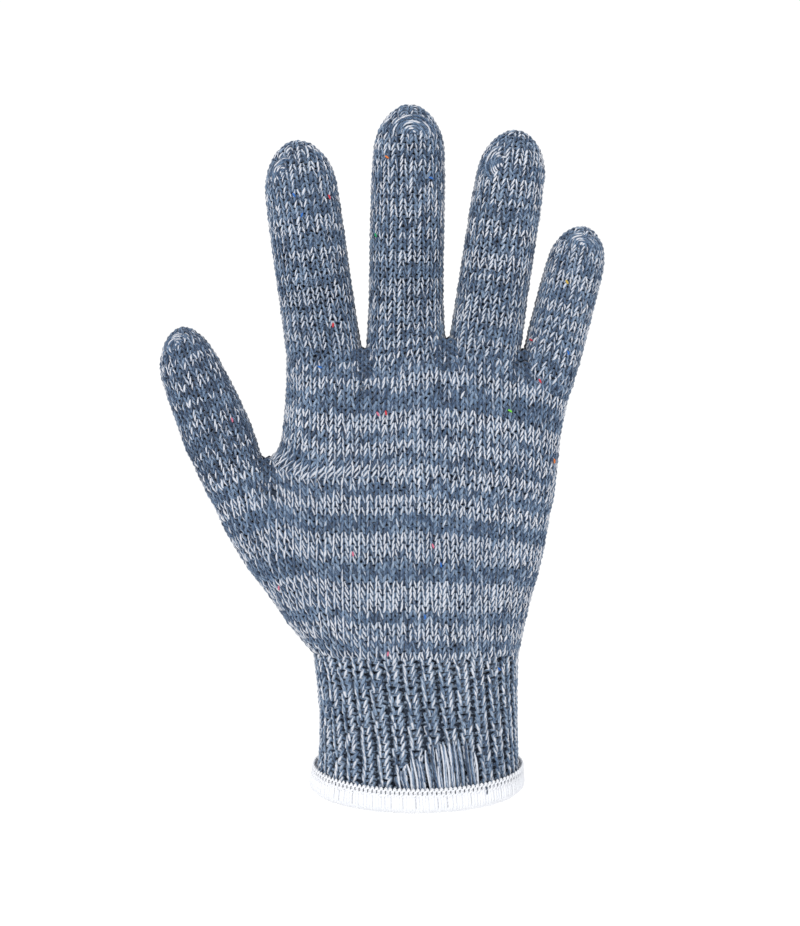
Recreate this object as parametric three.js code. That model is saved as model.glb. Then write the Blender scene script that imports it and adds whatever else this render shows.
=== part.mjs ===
// A seamless string-knit cotton work glove in its worn form, fingers up, thumb on the left.
// Millimetres, +Z up, X across the hand, the back of the hand facing -Y.
// The origin is the middle of the wrist opening, where the hem's lower edge lies.
// The glove is knitted as one tube after another: four fingers, the upper palm that joins
// them, the thumb, the lower palm that takes in the thumb, the ribbed cuff and the white
// overlocked hem. Each tube is a hollow shell, and neighbours keep a small gap.
import * as THREE from "three";

// Knitted fabric
const WALL = 2.2;
const JOIN_GAP = 0.3;
const CROTCH_SLIT = 1.2; // hollow left between front and back where they meet at a crotch

// Wrist, cuff and hem
const WRIST_WIDTH = 70.5;
const WRIST_DEPTH = 47;
const CUFF_HEIGHT = 46.5;
const CUFF_TILT = 14; // degrees by which the wrist opening drops towards the front
const WRIST_SET_BACK = 6; // how far the hand lies in front of the wrist opening
const RIB_COUNT = 30;
const RIB_DEPTH = 1.3;
const HEM_HEIGHT = 7.2;
const HEM_THICKNESS = 1;

// Palm
const LOWER_PALM_HEIGHT = 62;
const UPPER_PALM_HEIGHT = 41;
const PALM_DEPTH = 36;
const PALM_SHIFT = 4.8; // how far the knuckles lie towards the little finger
const FOLD_DEPTH = 1; // depth of the deepest fold in the palm

// Fingers from the thumb's side. base is the width at the knuckle line, and width and depth
// are those of the middle of the finger. length runs from the knuckle line to the tip, lean
// is in degrees towards the little finger, curl is how far the tip lies behind the knuckle,
// and crotch is how far the crotch on the little finger's side lies above the knuckle height,
// which is the heights of cuff, lower palm and upper palm together.
const FINGERS = [
  { name: "index", base: 26.9, width: 25.8, depth: 24.5, length: 75.5, lean: -8, curl: 5, crotch: -2.4 },
  { name: "middle", base: 27.9, width: 25.8, depth: 25, length: 86.5, lean: 1, curl: 6, crotch: 1 },
  { name: "ring", base: 25.2, width: 24.6, depth: 24, length: 79, lean: 8.8, curl: 7, crotch: -3.1 },
  { name: "little", base: 18.6, width: 20.4, depth: 21, length: 52.3, lean: 15, curl: 7, crotch: -10 },
];
const INDEX_SIDE_RISE = -0.3; // the knuckle line at the index finger's outer side

// Thumb
const THUMB = { name: "thumb", base: 22.5, width: 23.6, depth: 23, length: 54, lean: -20.6, curl: 7 };
const THUMB_CROTCH_RISE = 4.5; // height of the thumb crotch above the lower palm
const THUMB_OUTER_DROP = 4.8; // how far the thumb's outer side starts below the lower palm's top
const LITTLE_SIDE_DROP = 8.3; // how far that top drops towards the little finger's side

// How finely the solids are faceted
const FINGER_SIDES = 20;
const PALM_STATIONS = 13;
const POINTS_PER_RIB = 4;
const HEM_SIDES = 40;
const FINGER_BANDS = 7;
const TIP_BANDS = 3;
const CUFF_BANDS = 5;
const LOWER_PALM_BANDS = [0, 0.15, 0.3, 0.45, 0.6, 0.74, 0.86, 0.94, 1];
const UPPER_PALM_BANDS = [0, 0.12, 0.35, 0.6, 0.85, 1];

// Outline of a finger from its base to its tip. left, right, front and back are shares of
// half its width or depth, and square is 2 for an oval section and more for a boxy one.
const FINGER_ROWS = [
  { at: 0, left: 1, right: 1, front: 1.1, back: 1.1, square: 3 },
  { at: 0.1, left: 1.01, right: 1, front: 1.07, back: 1.07, square: 2.8 },
  { at: 0.25, left: 1.02, right: 1, front: 1.01, back: 1.02, square: 2.5 },
  { at: 0.45, left: 1.02, right: 0.99, front: 0.98, back: 1, square: 2.3 },
  { at: 0.7, left: 1, right: 0.98, front: 0.97, back: 0.96, square: 2.2 },
  { at: 1, left: 0.9, right: 0.92, front: 0.86, back: 0.86, square: 2.1 },
];
// The same for the thumb, which narrows towards its tip on the finger side.
const THUMB_ROWS = [
  { at: 0, left: 1, right: 1, front: 0.98, back: 1.02, square: 2.6 },
  { at: 0.25, left: 1.07, right: 1, front: 1, back: 1.02, square: 2.3 },
  { at: 0.5, left: 1.06, right: 0.92, front: 0.98, back: 0.98, square: 2.2 },
  { at: 0.75, left: 1.03, right: 0.76, front: 0.92, back: 0.9, square: 2.1 },
  { at: 1, left: 0.9, right: 0.68, front: 0.82, back: 0.8, square: 2.1 },
];
// Lower palm from the cuff up to the thumb crotch. left and right are shares of half the
// wrist's width, front and back of half the palm's depth, and parted is how far the tube
// has parted into the thumb's lobe and the palm's.
const LOWER_PALM_ROWS = [
  { at: 0, left: 1.01, right: 1.01, front: 1.22, back: 1.2, square: 2, parted: 0 },
  { at: 0.16, left: 1.23, right: 1.06, front: 1.17, back: 1.2, square: 2.1, parted: 0 },
  { at: 0.34, left: 1.43, right: 1.12, front: 1.1, back: 1.18, square: 2.2, parted: 0 },
  { at: 0.52, left: 1.65, right: 1.2, front: 1.05, back: 1.14, square: 2.3, parted: 0.03 },
  { at: 0.74, left: 1.86, right: 1.27, front: 1, back: 1.08, square: 2.4, parted: 0.2 },
  { at: 0.9, left: 1.98, right: 1.31, front: 0.98, back: 1.03, square: 2.45, parted: 0.6 },
  { at: 1, left: 2.07, right: 1.345, front: 0.97, back: 1, square: 2.5, parted: 1 },
];
// Upper palm from the thumb crotch up to the knuckle line. left and right are shares of the
// way from its lower edge to its upper edge, and dented is how far the dents between the
// fingers have come in.
const UPPER_PALM_ROWS = [
  { at: 0, left: 0, right: 0, front: 0.97, back: 1, square: 2.5, dented: 0 },
  { at: 0.12, left: 0.6, right: 0.08, front: 0.98, back: 1, square: 2.55, dented: 0 },
  { at: 0.35, left: 0.84, right: 0.23, front: 0.975, back: 0.99, square: 2.65, dented: 0 },
  { at: 0.6, left: 0.95, right: 0.39, front: 0.95, back: 0.96, square: 2.8, dented: 0.07 },
  { at: 0.85, left: 0.99, right: 0.69, front: 0.9, back: 0.91, square: 3, dented: 0.3 },
  { at: 1, left: 1, right: 1, front: 0.86, back: 0.87, square: 3.2, dented: 1 },
];
// The upper palm's lower edge from the thumb crotch to the little finger's side. drop is a
// share of the whole drop from the crotch to that side.
const PALM_EDGE_ROWS = [
  { at: 0, drop: 0 },
  { at: 0.12, drop: 0.36 },
  { at: 0.54, drop: 0.36 },
  { at: 0.86, drop: 0.72 },
  { at: 1, drop: 1 },
];
// Cuff from the hem up. left and right are shares of half the wrist's width, front and back
// of half its depth, and ribs is a share of the ribs' depth.
const CUFF_ROWS = [
  { at: 0, left: 1.01, right: 1.02, front: 1, back: 1, ribs: 0.3 },
  { at: 0.2, left: 0.97, right: 1.015, front: 0.96, back: 0.97, ribs: 1 },
  { at: 0.5, left: 0.955, right: 1.01, front: 0.93, back: 0.95, ribs: 1 },
  { at: 0.75, left: 0.975, right: 1.005, front: 0.93, back: 0.93, ribs: 0.75 },
  { at: 1, left: 1.01, right: 1.01, front: 0.935, back: 0.92, ribs: 0.15 },
];
// Folds of the palm, on the front (-1) or the back (1). x and z are the fold's middle, turn
// is its direction in degrees from +X up, and depth is a share of FOLD_DEPTH.
const FOLD_ROWS = [
  { side: -1, x: -44, z: 101, turn: -52, length: 18, width: 5, depth: 1 },
  { side: -1, x: -58, z: 90, turn: 68, length: 16, width: 6, depth: 0.5 },
  { side: -1, x: -30, z: 60, turn: 60, length: 15, width: 6, depth: 0.6 },
  { side: -1, x: 33, z: 62, turn: -72, length: 16, width: 6, depth: 0.5 },
  { side: 1, x: -40, z: 92, turn: -64, length: 26, width: 6, depth: 1 },
  { side: 1, x: 5, z: 118, turn: 6, length: 32, width: 5, depth: 0.7 },
  { side: 1, x: 10, z: 62, turn: 84, length: 16, width: 7, depth: 0.7 },
];
const THUMB_LOBE_SQUARE = 2.6;
const KNUCKLE_SQUARE = 3.6; // boxiness of each finger's section where it leaves the palm
const TIP_LENGTH = 1.3; // length of a rounded fingertip, in half widths
const LEAN_TAKEN_UP = 0.4; // share of a finger's length in which it turns from palm to lean
const SECTION_TAKEN_UP = 0.25; // share of its length in which its section becomes its own
const SETTING_FORWARD = 0.33; // share of the lower palm by which the hand has come forward

const { degToRad, lerp: mix, clamp } = THREE.MathUtils;
const ease = (t) => THREE.MathUtils.smoothstep(t, 0, 1);

// The columns of a table at one share of its length, on a smooth curve through its rows.
function rowAt(rows, at) {
  let i = 0;
  while (i < rows.length - 2 && at > rows[i + 1].at) i += 1;
  const [a, b] = [rows[i], rows[i + 1]];
  const before = rows[Math.max(i - 1, 0)];
  const after = rows[Math.min(i + 2, rows.length - 1)];
  const span = b.at - a.at;
  const t = clamp((at - a.at) / span, 0, 1);
  const found = {};
  for (const column of Object.keys(a)) {
    const leaving = ((b[column] - before[column]) / (b.at - before.at)) * span;
    const reaching = ((after[column] - a[column]) / (after.at - a.at)) * span;
    found[column] =
      a[column] * (1 + 2 * t) * (1 - t) ** 2 +
      leaving * t * (1 - t) ** 2 +
      b[column] * t * t * (3 - 2 * t) -
      reaching * t * t * (1 - t);
  }
  return found;
}

// Half thickness of a rounded section at x, where span gives its ends, depths and squareness.
function thicknessAt(span, x, inset) {
  const left = span.left + inset;
  const right = span.right - inset;
  const across = clamp((2 * (x - left)) / (right - left) - 1, -1, 1);
  const share = (1 - Math.abs(across) ** span.square) ** (1 / span.square);
  return { front: (span.front - inset) * share, back: (span.back - inset) * share };
}

// Half thickness where front and back meet at a crotch, which runs out at a section's ends.
function leastThickness(span, x, inset) {
  const fromEnd = Math.min(x - span.left - inset, span.right - inset - x);
  return (WALL + CROTCH_SLIT / 2 - inset) * clamp(fromEnd / WALL, 0, 1);
}

// Places across a rounded section, from -1 to 1, at the corners of its facets.
function stationsAcross(count, square) {
  const places = [];
  for (let i = 0; i <= count; i += 1) {
    const c = -Math.cos((i / count) * Math.PI);
    places.push(Math.sign(c) * Math.abs(c) ** (2 / square));
  }
  return places;
}

// One closed body from rings, listed from the inside's top down, over the rim and up the
// outside. A ring of one point closes a tip.
function shellFrom(rings) {
  const points = rings.flat();
  const starts = [];
  let count = 0;
  for (const ring of rings) {
    starts.push(count);
    count += ring.length;
  }
  const faces = [];
  const join = (from, to) => {
    const around = Math.max(rings[from].length, rings[to].length);
    for (let i = 0; i < around; i += 1) {
      const next = (i + 1) % around;
      const a = starts[from] + (rings[from].length > 1 ? i : 0);
      const b = starts[from] + (rings[from].length > 1 ? next : 0);
      const c = starts[to] + (rings[to].length > 1 ? i : 0);
      const d = starts[to] + (rings[to].length > 1 ? next : 0);
      if (a !== b) faces.push(a, b, d);
      if (c !== d) faces.push(a, d, c);
    }
  };
  for (let k = 0; k + 1 < rings.length; k += 1) join(k, k + 1);
  if (rings[0].length > 1) join(rings.length - 1, 0);
  const body = new THREE.BufferGeometry().setFromPoints(points);
  body.setIndex(faces);
  body.computeVertexNormals();
  return body;
}

// Shares of a length, evenly spaced.
const evenly = (bands) => Array.from({ length: bands + 1 }, (_, i) => i / bands);

// A tube open at both ends, with a ring at each share of its length.
function tubeFrom(ringAt, shares) {
  const inner = shares.map((at) => ringAt(at, WALL)).reverse();
  return shellFrom([...inner, ...shares.map((at) => ringAt(at, 0))]);
}

// The knuckle line runs through the crotches, from the index finger's outer side.
const lowerPalmTop = CUFF_HEIGHT + LOWER_PALM_HEIGHT;
const knuckleHeight = lowerPalmTop + UPPER_PALM_HEIGHT;
const knuckleWidth = FINGERS.reduce((sum, finger) => sum + finger.base, 0);
const crotches = [{ at: PALM_SHIFT - knuckleWidth / 2, z: knuckleHeight + INDEX_SIDE_RISE }];
for (const finger of FINGERS) {
  const previous = crotches[crotches.length - 1];
  crotches.push({ at: previous.at + finger.base, z: knuckleHeight + finger.crotch });
}
const knuckleLeft = crotches[0].at;
const knuckleRight = crotches[FINGERS.length].at;
const knuckleLine = (x) => rowAt(crotches, clamp(x, knuckleLeft, knuckleRight)).z;

// The crotch line is the lower palm's top: the thumb's base on its left, then the palm's edge.
const halfWrist = WRIST_WIDTH / 2;
const outerLeft = -LOWER_PALM_ROWS.at(-1).left * halfWrist;
const outerRight = LOWER_PALM_ROWS.at(-1).right * halfWrist;
const thumbCrotch = {
  x: outerLeft + THUMB.base * Math.cos(degToRad(THUMB.lean)),
  z: lowerPalmTop + THUMB_CROTCH_RISE,
};
function crotchLine(x) {
  if (x < thumbCrotch.x) {
    const share = (x - outerLeft) / (thumbCrotch.x - outerLeft);
    return mix(lowerPalmTop - THUMB_OUTER_DROP, thumbCrotch.z, share);
  }
  const share = (x - thumbCrotch.x) / (outerRight - thumbCrotch.x);
  return mix(thumbCrotch.z, lowerPalmTop - LITTLE_SIDE_DROP, rowAt(PALM_EDGE_ROWS, share).drop);
}

// The hand's middle plane, which comes forward above the wrist opening.
const forwardAt = CUFF_HEIGHT + SETTING_FORWARD * LOWER_PALM_HEIGHT;
const handPlane = (z) => -WRIST_SET_BACK * ease(z / forwardAt);

// How far the folds draw the palm in at a point of its front or back.
function foldsAt(x, z, side) {
  let drawn = 0;
  for (const fold of FOLD_ROWS) {
    if (fold.side !== side) continue;
    const turn = degToRad(fold.turn);
    const along = (x - fold.x) * Math.cos(turn) + (z - fold.z) * Math.sin(turn);
    const beside = (z - fold.z) * Math.cos(turn) - (x - fold.x) * Math.sin(turn);
    const fade = (2 * along / fold.length) ** 2 + (beside / fold.width) ** 2;
    drawn += fold.depth * FOLD_DEPTH * Math.exp(-fade);
  }
  return drawn;
}

// Where each finger leaves the palm. Its section is as deep as the palm is at that place.
const topRow = UPPER_PALM_ROWS.at(-1);
const knuckleSpan = {
  left: knuckleLeft,
  right: knuckleRight,
  front: (PALM_DEPTH / 2) * topRow.front,
  back: (PALM_DEPTH / 2) * topRow.back,
  square: topRow.square,
};
const fingerBases = FINGERS.map((finger, i) => {
  const left = crotches[i].at + (i > 0 ? JOIN_GAP / 2 : 0);
  const right = crotches[i + 1].at - (i < FINGERS.length - 1 ? JOIN_GAP / 2 : 0);
  const depths = thicknessAt(knuckleSpan, (left + right) / 2, 0);
  return { left, right, ...depths, square: KNUCKLE_SQUARE };
});
const thumbBase = {
  left: outerLeft,
  right: thumbCrotch.x - JOIN_GAP / 2,
  front: (THUMB.depth / 2) * THUMB_ROWS[0].front,
  back: (THUMB.depth / 2) * THUMB_ROWS[0].back,
  square: THUMB_LOBE_SQUARE,
};
const palmBase = {
  left: thumbCrotch.x + JOIN_GAP / 2,
  right: outerRight,
  front: (PALM_DEPTH / 2) * UPPER_PALM_ROWS[0].front,
  back: (PALM_DEPTH / 2) * UPPER_PALM_ROWS[0].back,
  square: UPPER_PALM_ROWS[0].square,
};

// A ring round a finger or the thumb at a share of its length.
function digitRing(digit, rows, base, line, at, inset) {
  const row = rowAt(rows, at);
  const half = digit.width / 2;
  const length = digit.length - inset;
  const left = new THREE.Vector3(base.left, 0, line(base.left));
  const right = new THREE.Vector3(base.right, 0, line(base.right));
  const chord = right.clone().sub(left);
  const lean = degToRad(digit.lean);
  const along = new THREE.Vector3(Math.sin(lean), 0, Math.cos(lean));
  const level = new THREE.Vector3(Math.cos(lean), 0, -Math.sin(lean));
  const across = chord.clone().normalize().lerp(level, ease(at / LEAN_TAKEN_UP)).normalize();
  const tip = TIP_LENGTH * half - inset;
  const fromTip = Math.min(1, (length * (1 - at)) / tip);
  const dome = Math.sqrt(1 - (1 - fromTip) ** 2);
  const settled = ease(at / SECTION_TAKEN_UP);
  const square = mix(base.square, row.square, settled);
  const reach = {
    left: (mix(chord.length() / 2, half * row.left, settled) - inset) * dome,
    right: (mix(chord.length() / 2, half * row.right, settled) - inset) * dome,
    front: (mix(base.front, (digit.depth / 2) * row.front, settled) - inset) * dome,
    back: (mix(base.back, (digit.depth / 2) * row.back, settled) - inset) * dome,
  };
  const middle = left.clone().add(right).multiplyScalar(0.5);
  middle.y = handPlane(middle.z) + digit.curl * ease(at);
  middle.addScaledVector(along, length * at);
  const ring = [];
  for (let i = 0; i < FINGER_SIDES; i += 1) {
    const angle = (i / FINGER_SIDES) * 2 * Math.PI;
    const [c, s] = [Math.cos(angle), Math.sin(angle)];
    const x = Math.sign(c) * Math.abs(c) ** (2 / square) * (c < 0 ? reach.left : reach.right);
    const y = Math.sign(s) * Math.abs(s) ** (2 / square) * (s < 0 ? reach.front : reach.back);
    const point = middle.clone().addScaledVector(across, x);
    point.y += y;
    if (at === 0) point.z = line(point.x) + JOIN_GAP / 2;
    ring.push(point);
  }
  return ring;
}

// A finger or the thumb: a tube closed at its tip.
function digitShell(digit, rows, base, line) {
  const tipShare = (TIP_LENGTH * digit.width) / 2 / digit.length;
  const shares = evenly(FINGER_BANDS).map((at) => at * (1 - tipShare));
  for (let i = 1; i <= TIP_BANDS; i += 1) {
    shares.push(1 - tipShare + tipShare * Math.sin((i / (TIP_BANDS + 1)) * (Math.PI / 2)));
  }
  const ringsOf = (inset) => shares.map((at) => digitRing(digit, rows, base, line, at, inset));
  const tipOf = (inset) => digitRing(digit, rows, base, line, 1, inset).slice(0, 1);
  return shellFrom([tipOf(WALL), ...ringsOf(WALL).reverse(), ...ringsOf(0), tipOf(0)]);
}

// A ring across the palm through stations from 0 to 1, where place gives x and z, and
// thickness gives the half thickness at x.
function palmRing(stations, place, thickness) {
  const last = stations.length - 1;
  const pointAt = (i, side) => {
    const { x, z } = place(stations[i]);
    const half = thickness(x);
    const reach = i === 0 || i === last ? 0 : side < 0 ? half.front : half.back;
    const fold = reach === 0 ? 0 : foldsAt(x, z, side) * Math.min(1, reach / WALL / 2);
    return new THREE.Vector3(x, handPlane(z) + side * (reach - fold), z);
  };
  const ring = [pointAt(last, 1)];
  for (let i = last - 1; i > 0; i -= 1) ring.push(pointAt(i, 1));
  ring.push(pointAt(0, -1));
  for (let i = 1; i < last; i += 1) ring.push(pointAt(i, -1));
  return ring;
}

// Upper palm, whose stations at the knuckle line are those of the four fingers.
const upperStations = [0];
fingerBases.forEach((base, i) => {
  const inner = stationsAcross(FINGER_SIDES / 2, base.square).slice(1, -1);
  const width = knuckleRight - knuckleLeft;
  for (const across of inner) {
    upperStations.push((mix(base.left, base.right, (across + 1) / 2) - knuckleLeft) / width);
  }
  upperStations.push((crotches[i + 1].at - knuckleLeft) / width);
});
function upperPalmRing(at, inset) {
  const row = rowAt(UPPER_PALM_ROWS, at);
  const span = {
    left: mix(palmBase.left, knuckleLeft, row.left),
    right: mix(palmBase.right, knuckleRight, row.right),
    front: (PALM_DEPTH / 2) * row.front,
    back: (PALM_DEPTH / 2) * row.back,
    square: row.square,
  };
  const place = (share) => {
    const x = mix(span.left + inset, span.right - inset, share);
    const lower = crotchLine(mix(palmBase.left, palmBase.right, share)) + JOIN_GAP / 2;
    const upper = knuckleLine(mix(knuckleLeft, knuckleRight, share)) - JOIN_GAP / 2;
    return { x, z: mix(lower, upper, at) };
  };
  const thickness = (x) => {
    const plain = thicknessAt(span, x, inset);
    const knuckleX = mix(knuckleLeft, knuckleRight, (x - span.left) / (span.right - span.left));
    const fingers = { front: 0, back: 0 };
    for (const base of fingerBases) {
      const own = thicknessAt(base, knuckleX, inset);
      fingers.front = Math.max(fingers.front, own.front);
      fingers.back = Math.max(fingers.back, own.back);
    }
    const least = leastThickness(span, x, inset);
    return {
      front: Math.max(mix(plain.front, fingers.front, row.dented), least),
      back: Math.max(mix(plain.back, fingers.back, row.dented), least),
    };
  };
  return palmRing(upperStations, place, thickness);
}

// Lower palm, one tube at the cuff that parts into the thumb's lobe and the palm's.
const topWidth = outerRight - outerLeft;
const crotchShare = (thumbCrotch.x - outerLeft) / topWidth;
const lowerStations = [
  ...stationsAcross(FINGER_SIDES / 2, THUMB_LOBE_SQUARE)
    .slice(0, -1)
    .map((across) => ((across + 1) / 2) * crotchShare),
  ...stationsAcross(PALM_STATIONS, palmBase.square)
    .map((across) => mix(crotchShare, 1, (across + 1) / 2)),
];
function lowerPalmRing(at, inset) {
  const row = rowAt(LOWER_PALM_ROWS, at);
  const span = {
    left: -halfWrist * row.left,
    right: halfWrist * row.right,
    front: (PALM_DEPTH / 2) * row.front,
    back: (PALM_DEPTH / 2) * row.back,
    square: row.square,
  };
  const place = (share) => {
    const x = mix(span.left + inset, span.right - inset, share);
    const upper = crotchLine(mix(outerLeft, outerRight, share)) - JOIN_GAP / 2;
    return { x, z: mix(CUFF_HEIGHT + JOIN_GAP, upper, at) };
  };
  const thickness = (x) => {
    const plain = thicknessAt(span, x, inset);
    const topX = mix(outerLeft, outerRight, (x - span.left) / (span.right - span.left));
    const lobe = thicknessAt(topX < thumbCrotch.x ? thumbBase : palmBase, topX, inset);
    const least = leastThickness(span, x, inset);
    return {
      front: Math.max(mix(plain.front, lobe.front, row.parted), least),
      back: Math.max(mix(plain.back, lobe.back, row.parted), least),
    };
  };
  return palmRing(lowerStations, place, thickness);
}

// Angles whose points lie evenly round the wrist's oval.
function anglesRound(count) {
  const steps = 720;
  const halfDepth = WRIST_DEPTH / 2;
  const travelled = [0];
  for (let i = 0; i < steps; i += 1) {
    const angle = ((i + 0.5) / steps) * 2 * Math.PI;
    const pace = Math.hypot(halfWrist * Math.sin(angle), halfDepth * Math.cos(angle));
    travelled.push(travelled[i] + pace);
  }
  const angles = [];
  let i = 0;
  for (let k = 0; k < count; k += 1) {
    const wanted = (k / count) * travelled[steps];
    while (travelled[i + 1] < wanted) i += 1;
    const share = (wanted - travelled[i]) / (travelled[i + 1] - travelled[i]);
    angles.push(((i + share) / steps) * 2 * Math.PI);
  }
  return angles;
}

// Height of the wrist opening's edge, and a point of the cuff's outline drawn in by inset
// and by a share of the ribs' depth.
const openingAt = (angle) =>
  Math.sin(angle) * (WRIST_DEPTH / 2) * Math.tan(degToRad(CUFF_TILT));
function cuffPoint(angle, height, inset, valley) {
  const [c, s] = [Math.cos(angle), Math.sin(angle)];
  const opening = openingAt(angle);
  const at = clamp((height - opening) / (CUFF_HEIGHT - opening), 0, 1);
  const row = rowAt(CUFF_ROWS, at);
  const drawn = inset + valley * row.ribs * RIB_DEPTH;
  const wide = halfWrist * (c < 0 ? row.left : row.right) - drawn;
  const deep = (WRIST_DEPTH / 2) * (s < 0 ? row.front : row.back) - drawn;
  return new THREE.Vector3(c * wide, handPlane(CUFF_HEIGHT * at) + s * deep, height);
}

// The cuff stands in the hem's channel.
const hemFloor = HEM_THICKNESS;
function cuffRing(at, inset) {
  return anglesRound(RIB_COUNT * POINTS_PER_RIB).map((angle, i) => {
    const foot = openingAt(angle) + hemFloor + JOIN_GAP;
    const valley = 0.5 - 0.5 * Math.cos((i / POINTS_PER_RIB) * 2 * Math.PI);
    return cuffPoint(angle, mix(foot, CUFF_HEIGHT, at), inset, valley);
  });
}

// Hem: the section of a channel, carried round the wrist opening. out is measured from the
// cuff's outside and up from the hem's lower edge.
function hemShell() {
  const outside = JOIN_GAP + HEM_THICKNESS;
  const ribsThere = RIB_DEPTH * rowAt(CUFF_ROWS, HEM_HEIGHT / CUFF_HEIGHT).ribs;
  const channel = WALL + ribsThere + JOIN_GAP;
  const inside = channel + HEM_THICKNESS;
  const section = [
    { out: -channel - 0.4 * HEM_THICKNESS, up: 0.9 * HEM_HEIGHT },
    { out: -inside, up: 0.7 * HEM_HEIGHT },
    { out: -inside, up: 0.25 * HEM_HEIGHT },
    { out: -0.6 * inside, up: 0.03 * HEM_HEIGHT },
    { out: -0.1 * inside, up: 0 },
    { out: 0.8 * outside, up: 0.08 * HEM_HEIGHT },
    { out: 1.1 * outside, up: 0.35 * HEM_HEIGHT },
    { out: outside, up: 0.75 * HEM_HEIGHT },
    { out: JOIN_GAP + 0.4 * HEM_THICKNESS, up: HEM_HEIGHT },
    { out: JOIN_GAP, up: 0.92 * HEM_HEIGHT },
    { out: JOIN_GAP, up: hemFloor },
    { out: -channel, up: hemFloor },
    { out: -channel, up: 0.82 * HEM_HEIGHT },
  ];
  return shellFrom(
    section.map(({ out, up }) =>
      anglesRound(HEM_SIDES).map((angle) => cuffPoint(angle, openingAt(angle) + up, -out, 0)),
    ),
  );
}

const materials = {
  knit: new THREE.MeshStandardMaterial({ color: 0x74869b, roughness: 0.95, metalness: 0 }),
  cuff: new THREE.MeshStandardMaterial({ color: 0x6b7f96, roughness: 0.95, metalness: 0 }),
  hem: new THREE.MeshStandardMaterial({ color: 0xf3f4f6, roughness: 0.9, metalness: 0 }),
};

const glove = new THREE.Group();
glove.name = "cotton_work_glove";
function addPiece(name, geometry, material) {
  const mesh = new THREE.Mesh(geometry, material);
  mesh.name = name;
  glove.add(mesh);
}

FINGERS.forEach((finger, i) => {
  const shell = digitShell(finger, FINGER_ROWS, fingerBases[i], knuckleLine);
  addPiece(`${finger.name}_finger`, shell, materials.knit.clone());
});
const thumbShell = digitShell(THUMB, THUMB_ROWS, thumbBase, crotchLine);
addPiece(THUMB.name, thumbShell, materials.knit.clone());
addPiece("upper_palm", tubeFrom(upperPalmRing, UPPER_PALM_BANDS), materials.knit.clone());
addPiece("lower_palm", tubeFrom(lowerPalmRing, LOWER_PALM_BANDS), materials.knit.clone());
addPiece("rib_cuff", tubeFrom(cuffRing, evenly(CUFF_BANDS)), materials.cuff);
addPiece("hem_band", hemShell(), materials.hem);

export default glove;
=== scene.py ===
"""Knits the looks of a string-knit work glove, stitch by stitch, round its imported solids.

Lengths in the tables are millimetres. Meshes, lights and properties are in metres.
"""

import math

import bpy
import numpy as np
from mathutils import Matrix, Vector
from mathutils.bvhtree import BVHTree


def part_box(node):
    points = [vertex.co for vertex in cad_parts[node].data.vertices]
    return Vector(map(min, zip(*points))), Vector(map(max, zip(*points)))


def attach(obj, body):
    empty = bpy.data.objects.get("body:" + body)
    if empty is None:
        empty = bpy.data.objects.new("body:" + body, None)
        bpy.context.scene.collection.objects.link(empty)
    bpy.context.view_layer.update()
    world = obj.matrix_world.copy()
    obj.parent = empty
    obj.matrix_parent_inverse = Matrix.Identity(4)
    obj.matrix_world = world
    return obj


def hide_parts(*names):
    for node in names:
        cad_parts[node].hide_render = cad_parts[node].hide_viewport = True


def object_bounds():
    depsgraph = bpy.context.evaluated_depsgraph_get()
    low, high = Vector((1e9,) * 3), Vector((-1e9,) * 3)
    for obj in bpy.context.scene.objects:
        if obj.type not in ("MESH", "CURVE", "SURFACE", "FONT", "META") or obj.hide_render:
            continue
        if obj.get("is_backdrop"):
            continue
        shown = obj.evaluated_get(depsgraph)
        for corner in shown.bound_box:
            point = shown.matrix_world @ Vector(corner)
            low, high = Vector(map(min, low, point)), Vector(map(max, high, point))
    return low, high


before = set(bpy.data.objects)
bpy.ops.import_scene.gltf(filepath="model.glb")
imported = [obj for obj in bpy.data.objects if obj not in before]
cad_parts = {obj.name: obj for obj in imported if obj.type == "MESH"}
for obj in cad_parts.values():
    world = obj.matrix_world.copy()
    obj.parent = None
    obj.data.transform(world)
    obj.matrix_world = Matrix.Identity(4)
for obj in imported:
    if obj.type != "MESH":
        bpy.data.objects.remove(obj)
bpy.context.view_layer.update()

bl_info = {
    "name": "Knitted Work Glove",
    "version": (1, 0, 0),
    "blender": (4, 5, 0),
    "location": "3D View > Sidebar > Glove",
    "description": "Knits a work glove stitch by stitch over its fitted solids",
    "category": "Object",
}

MM = 0.001
BODY = "root"
SEED = 7
TURN = 2 * math.pi

# Knitted solids, in millimetres
JOIN_GAP = 0.3
CROTCH_LEAST = 2.8  # half thickness left where front and back meet at a crotch
WRIST_WIDTH = 70.5
WRIST_DEPTH = 47
CUFF_HEIGHT = 46.5
CUFF_TILT = 14  # degrees
WRIST_SET_BACK = 6
RIB_COUNT = 30
HEM_HEIGHT = 7.2
HEM_THICKNESS = 1
LOWER_PALM_HEIGHT = 62
UPPER_PALM_HEIGHT = 41
PALM_DEPTH = 36
PALM_SHIFT = 4.8
FOLD_DEPTH = 1
SETTING_FORWARD = 0.33
INDEX_SIDE_RISE = -0.3
THUMB_CROTCH_RISE = 4.5
THUMB_OUTER_DROP = 4.8
LITTLE_SIDE_DROP = 8.3
TIP_LENGTH = 1.3
LEAN_TAKEN_UP = 0.4
SECTION_TAKEN_UP = 0.25
BASE_TAKEN_UP = 0.12  # share of a finger's length in which it leaves the knuckle line
THUMB_LOBE_SQUARE = 2.6
KNUCKLE_SQUARE = 3.6
WALL = 2.2

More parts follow.
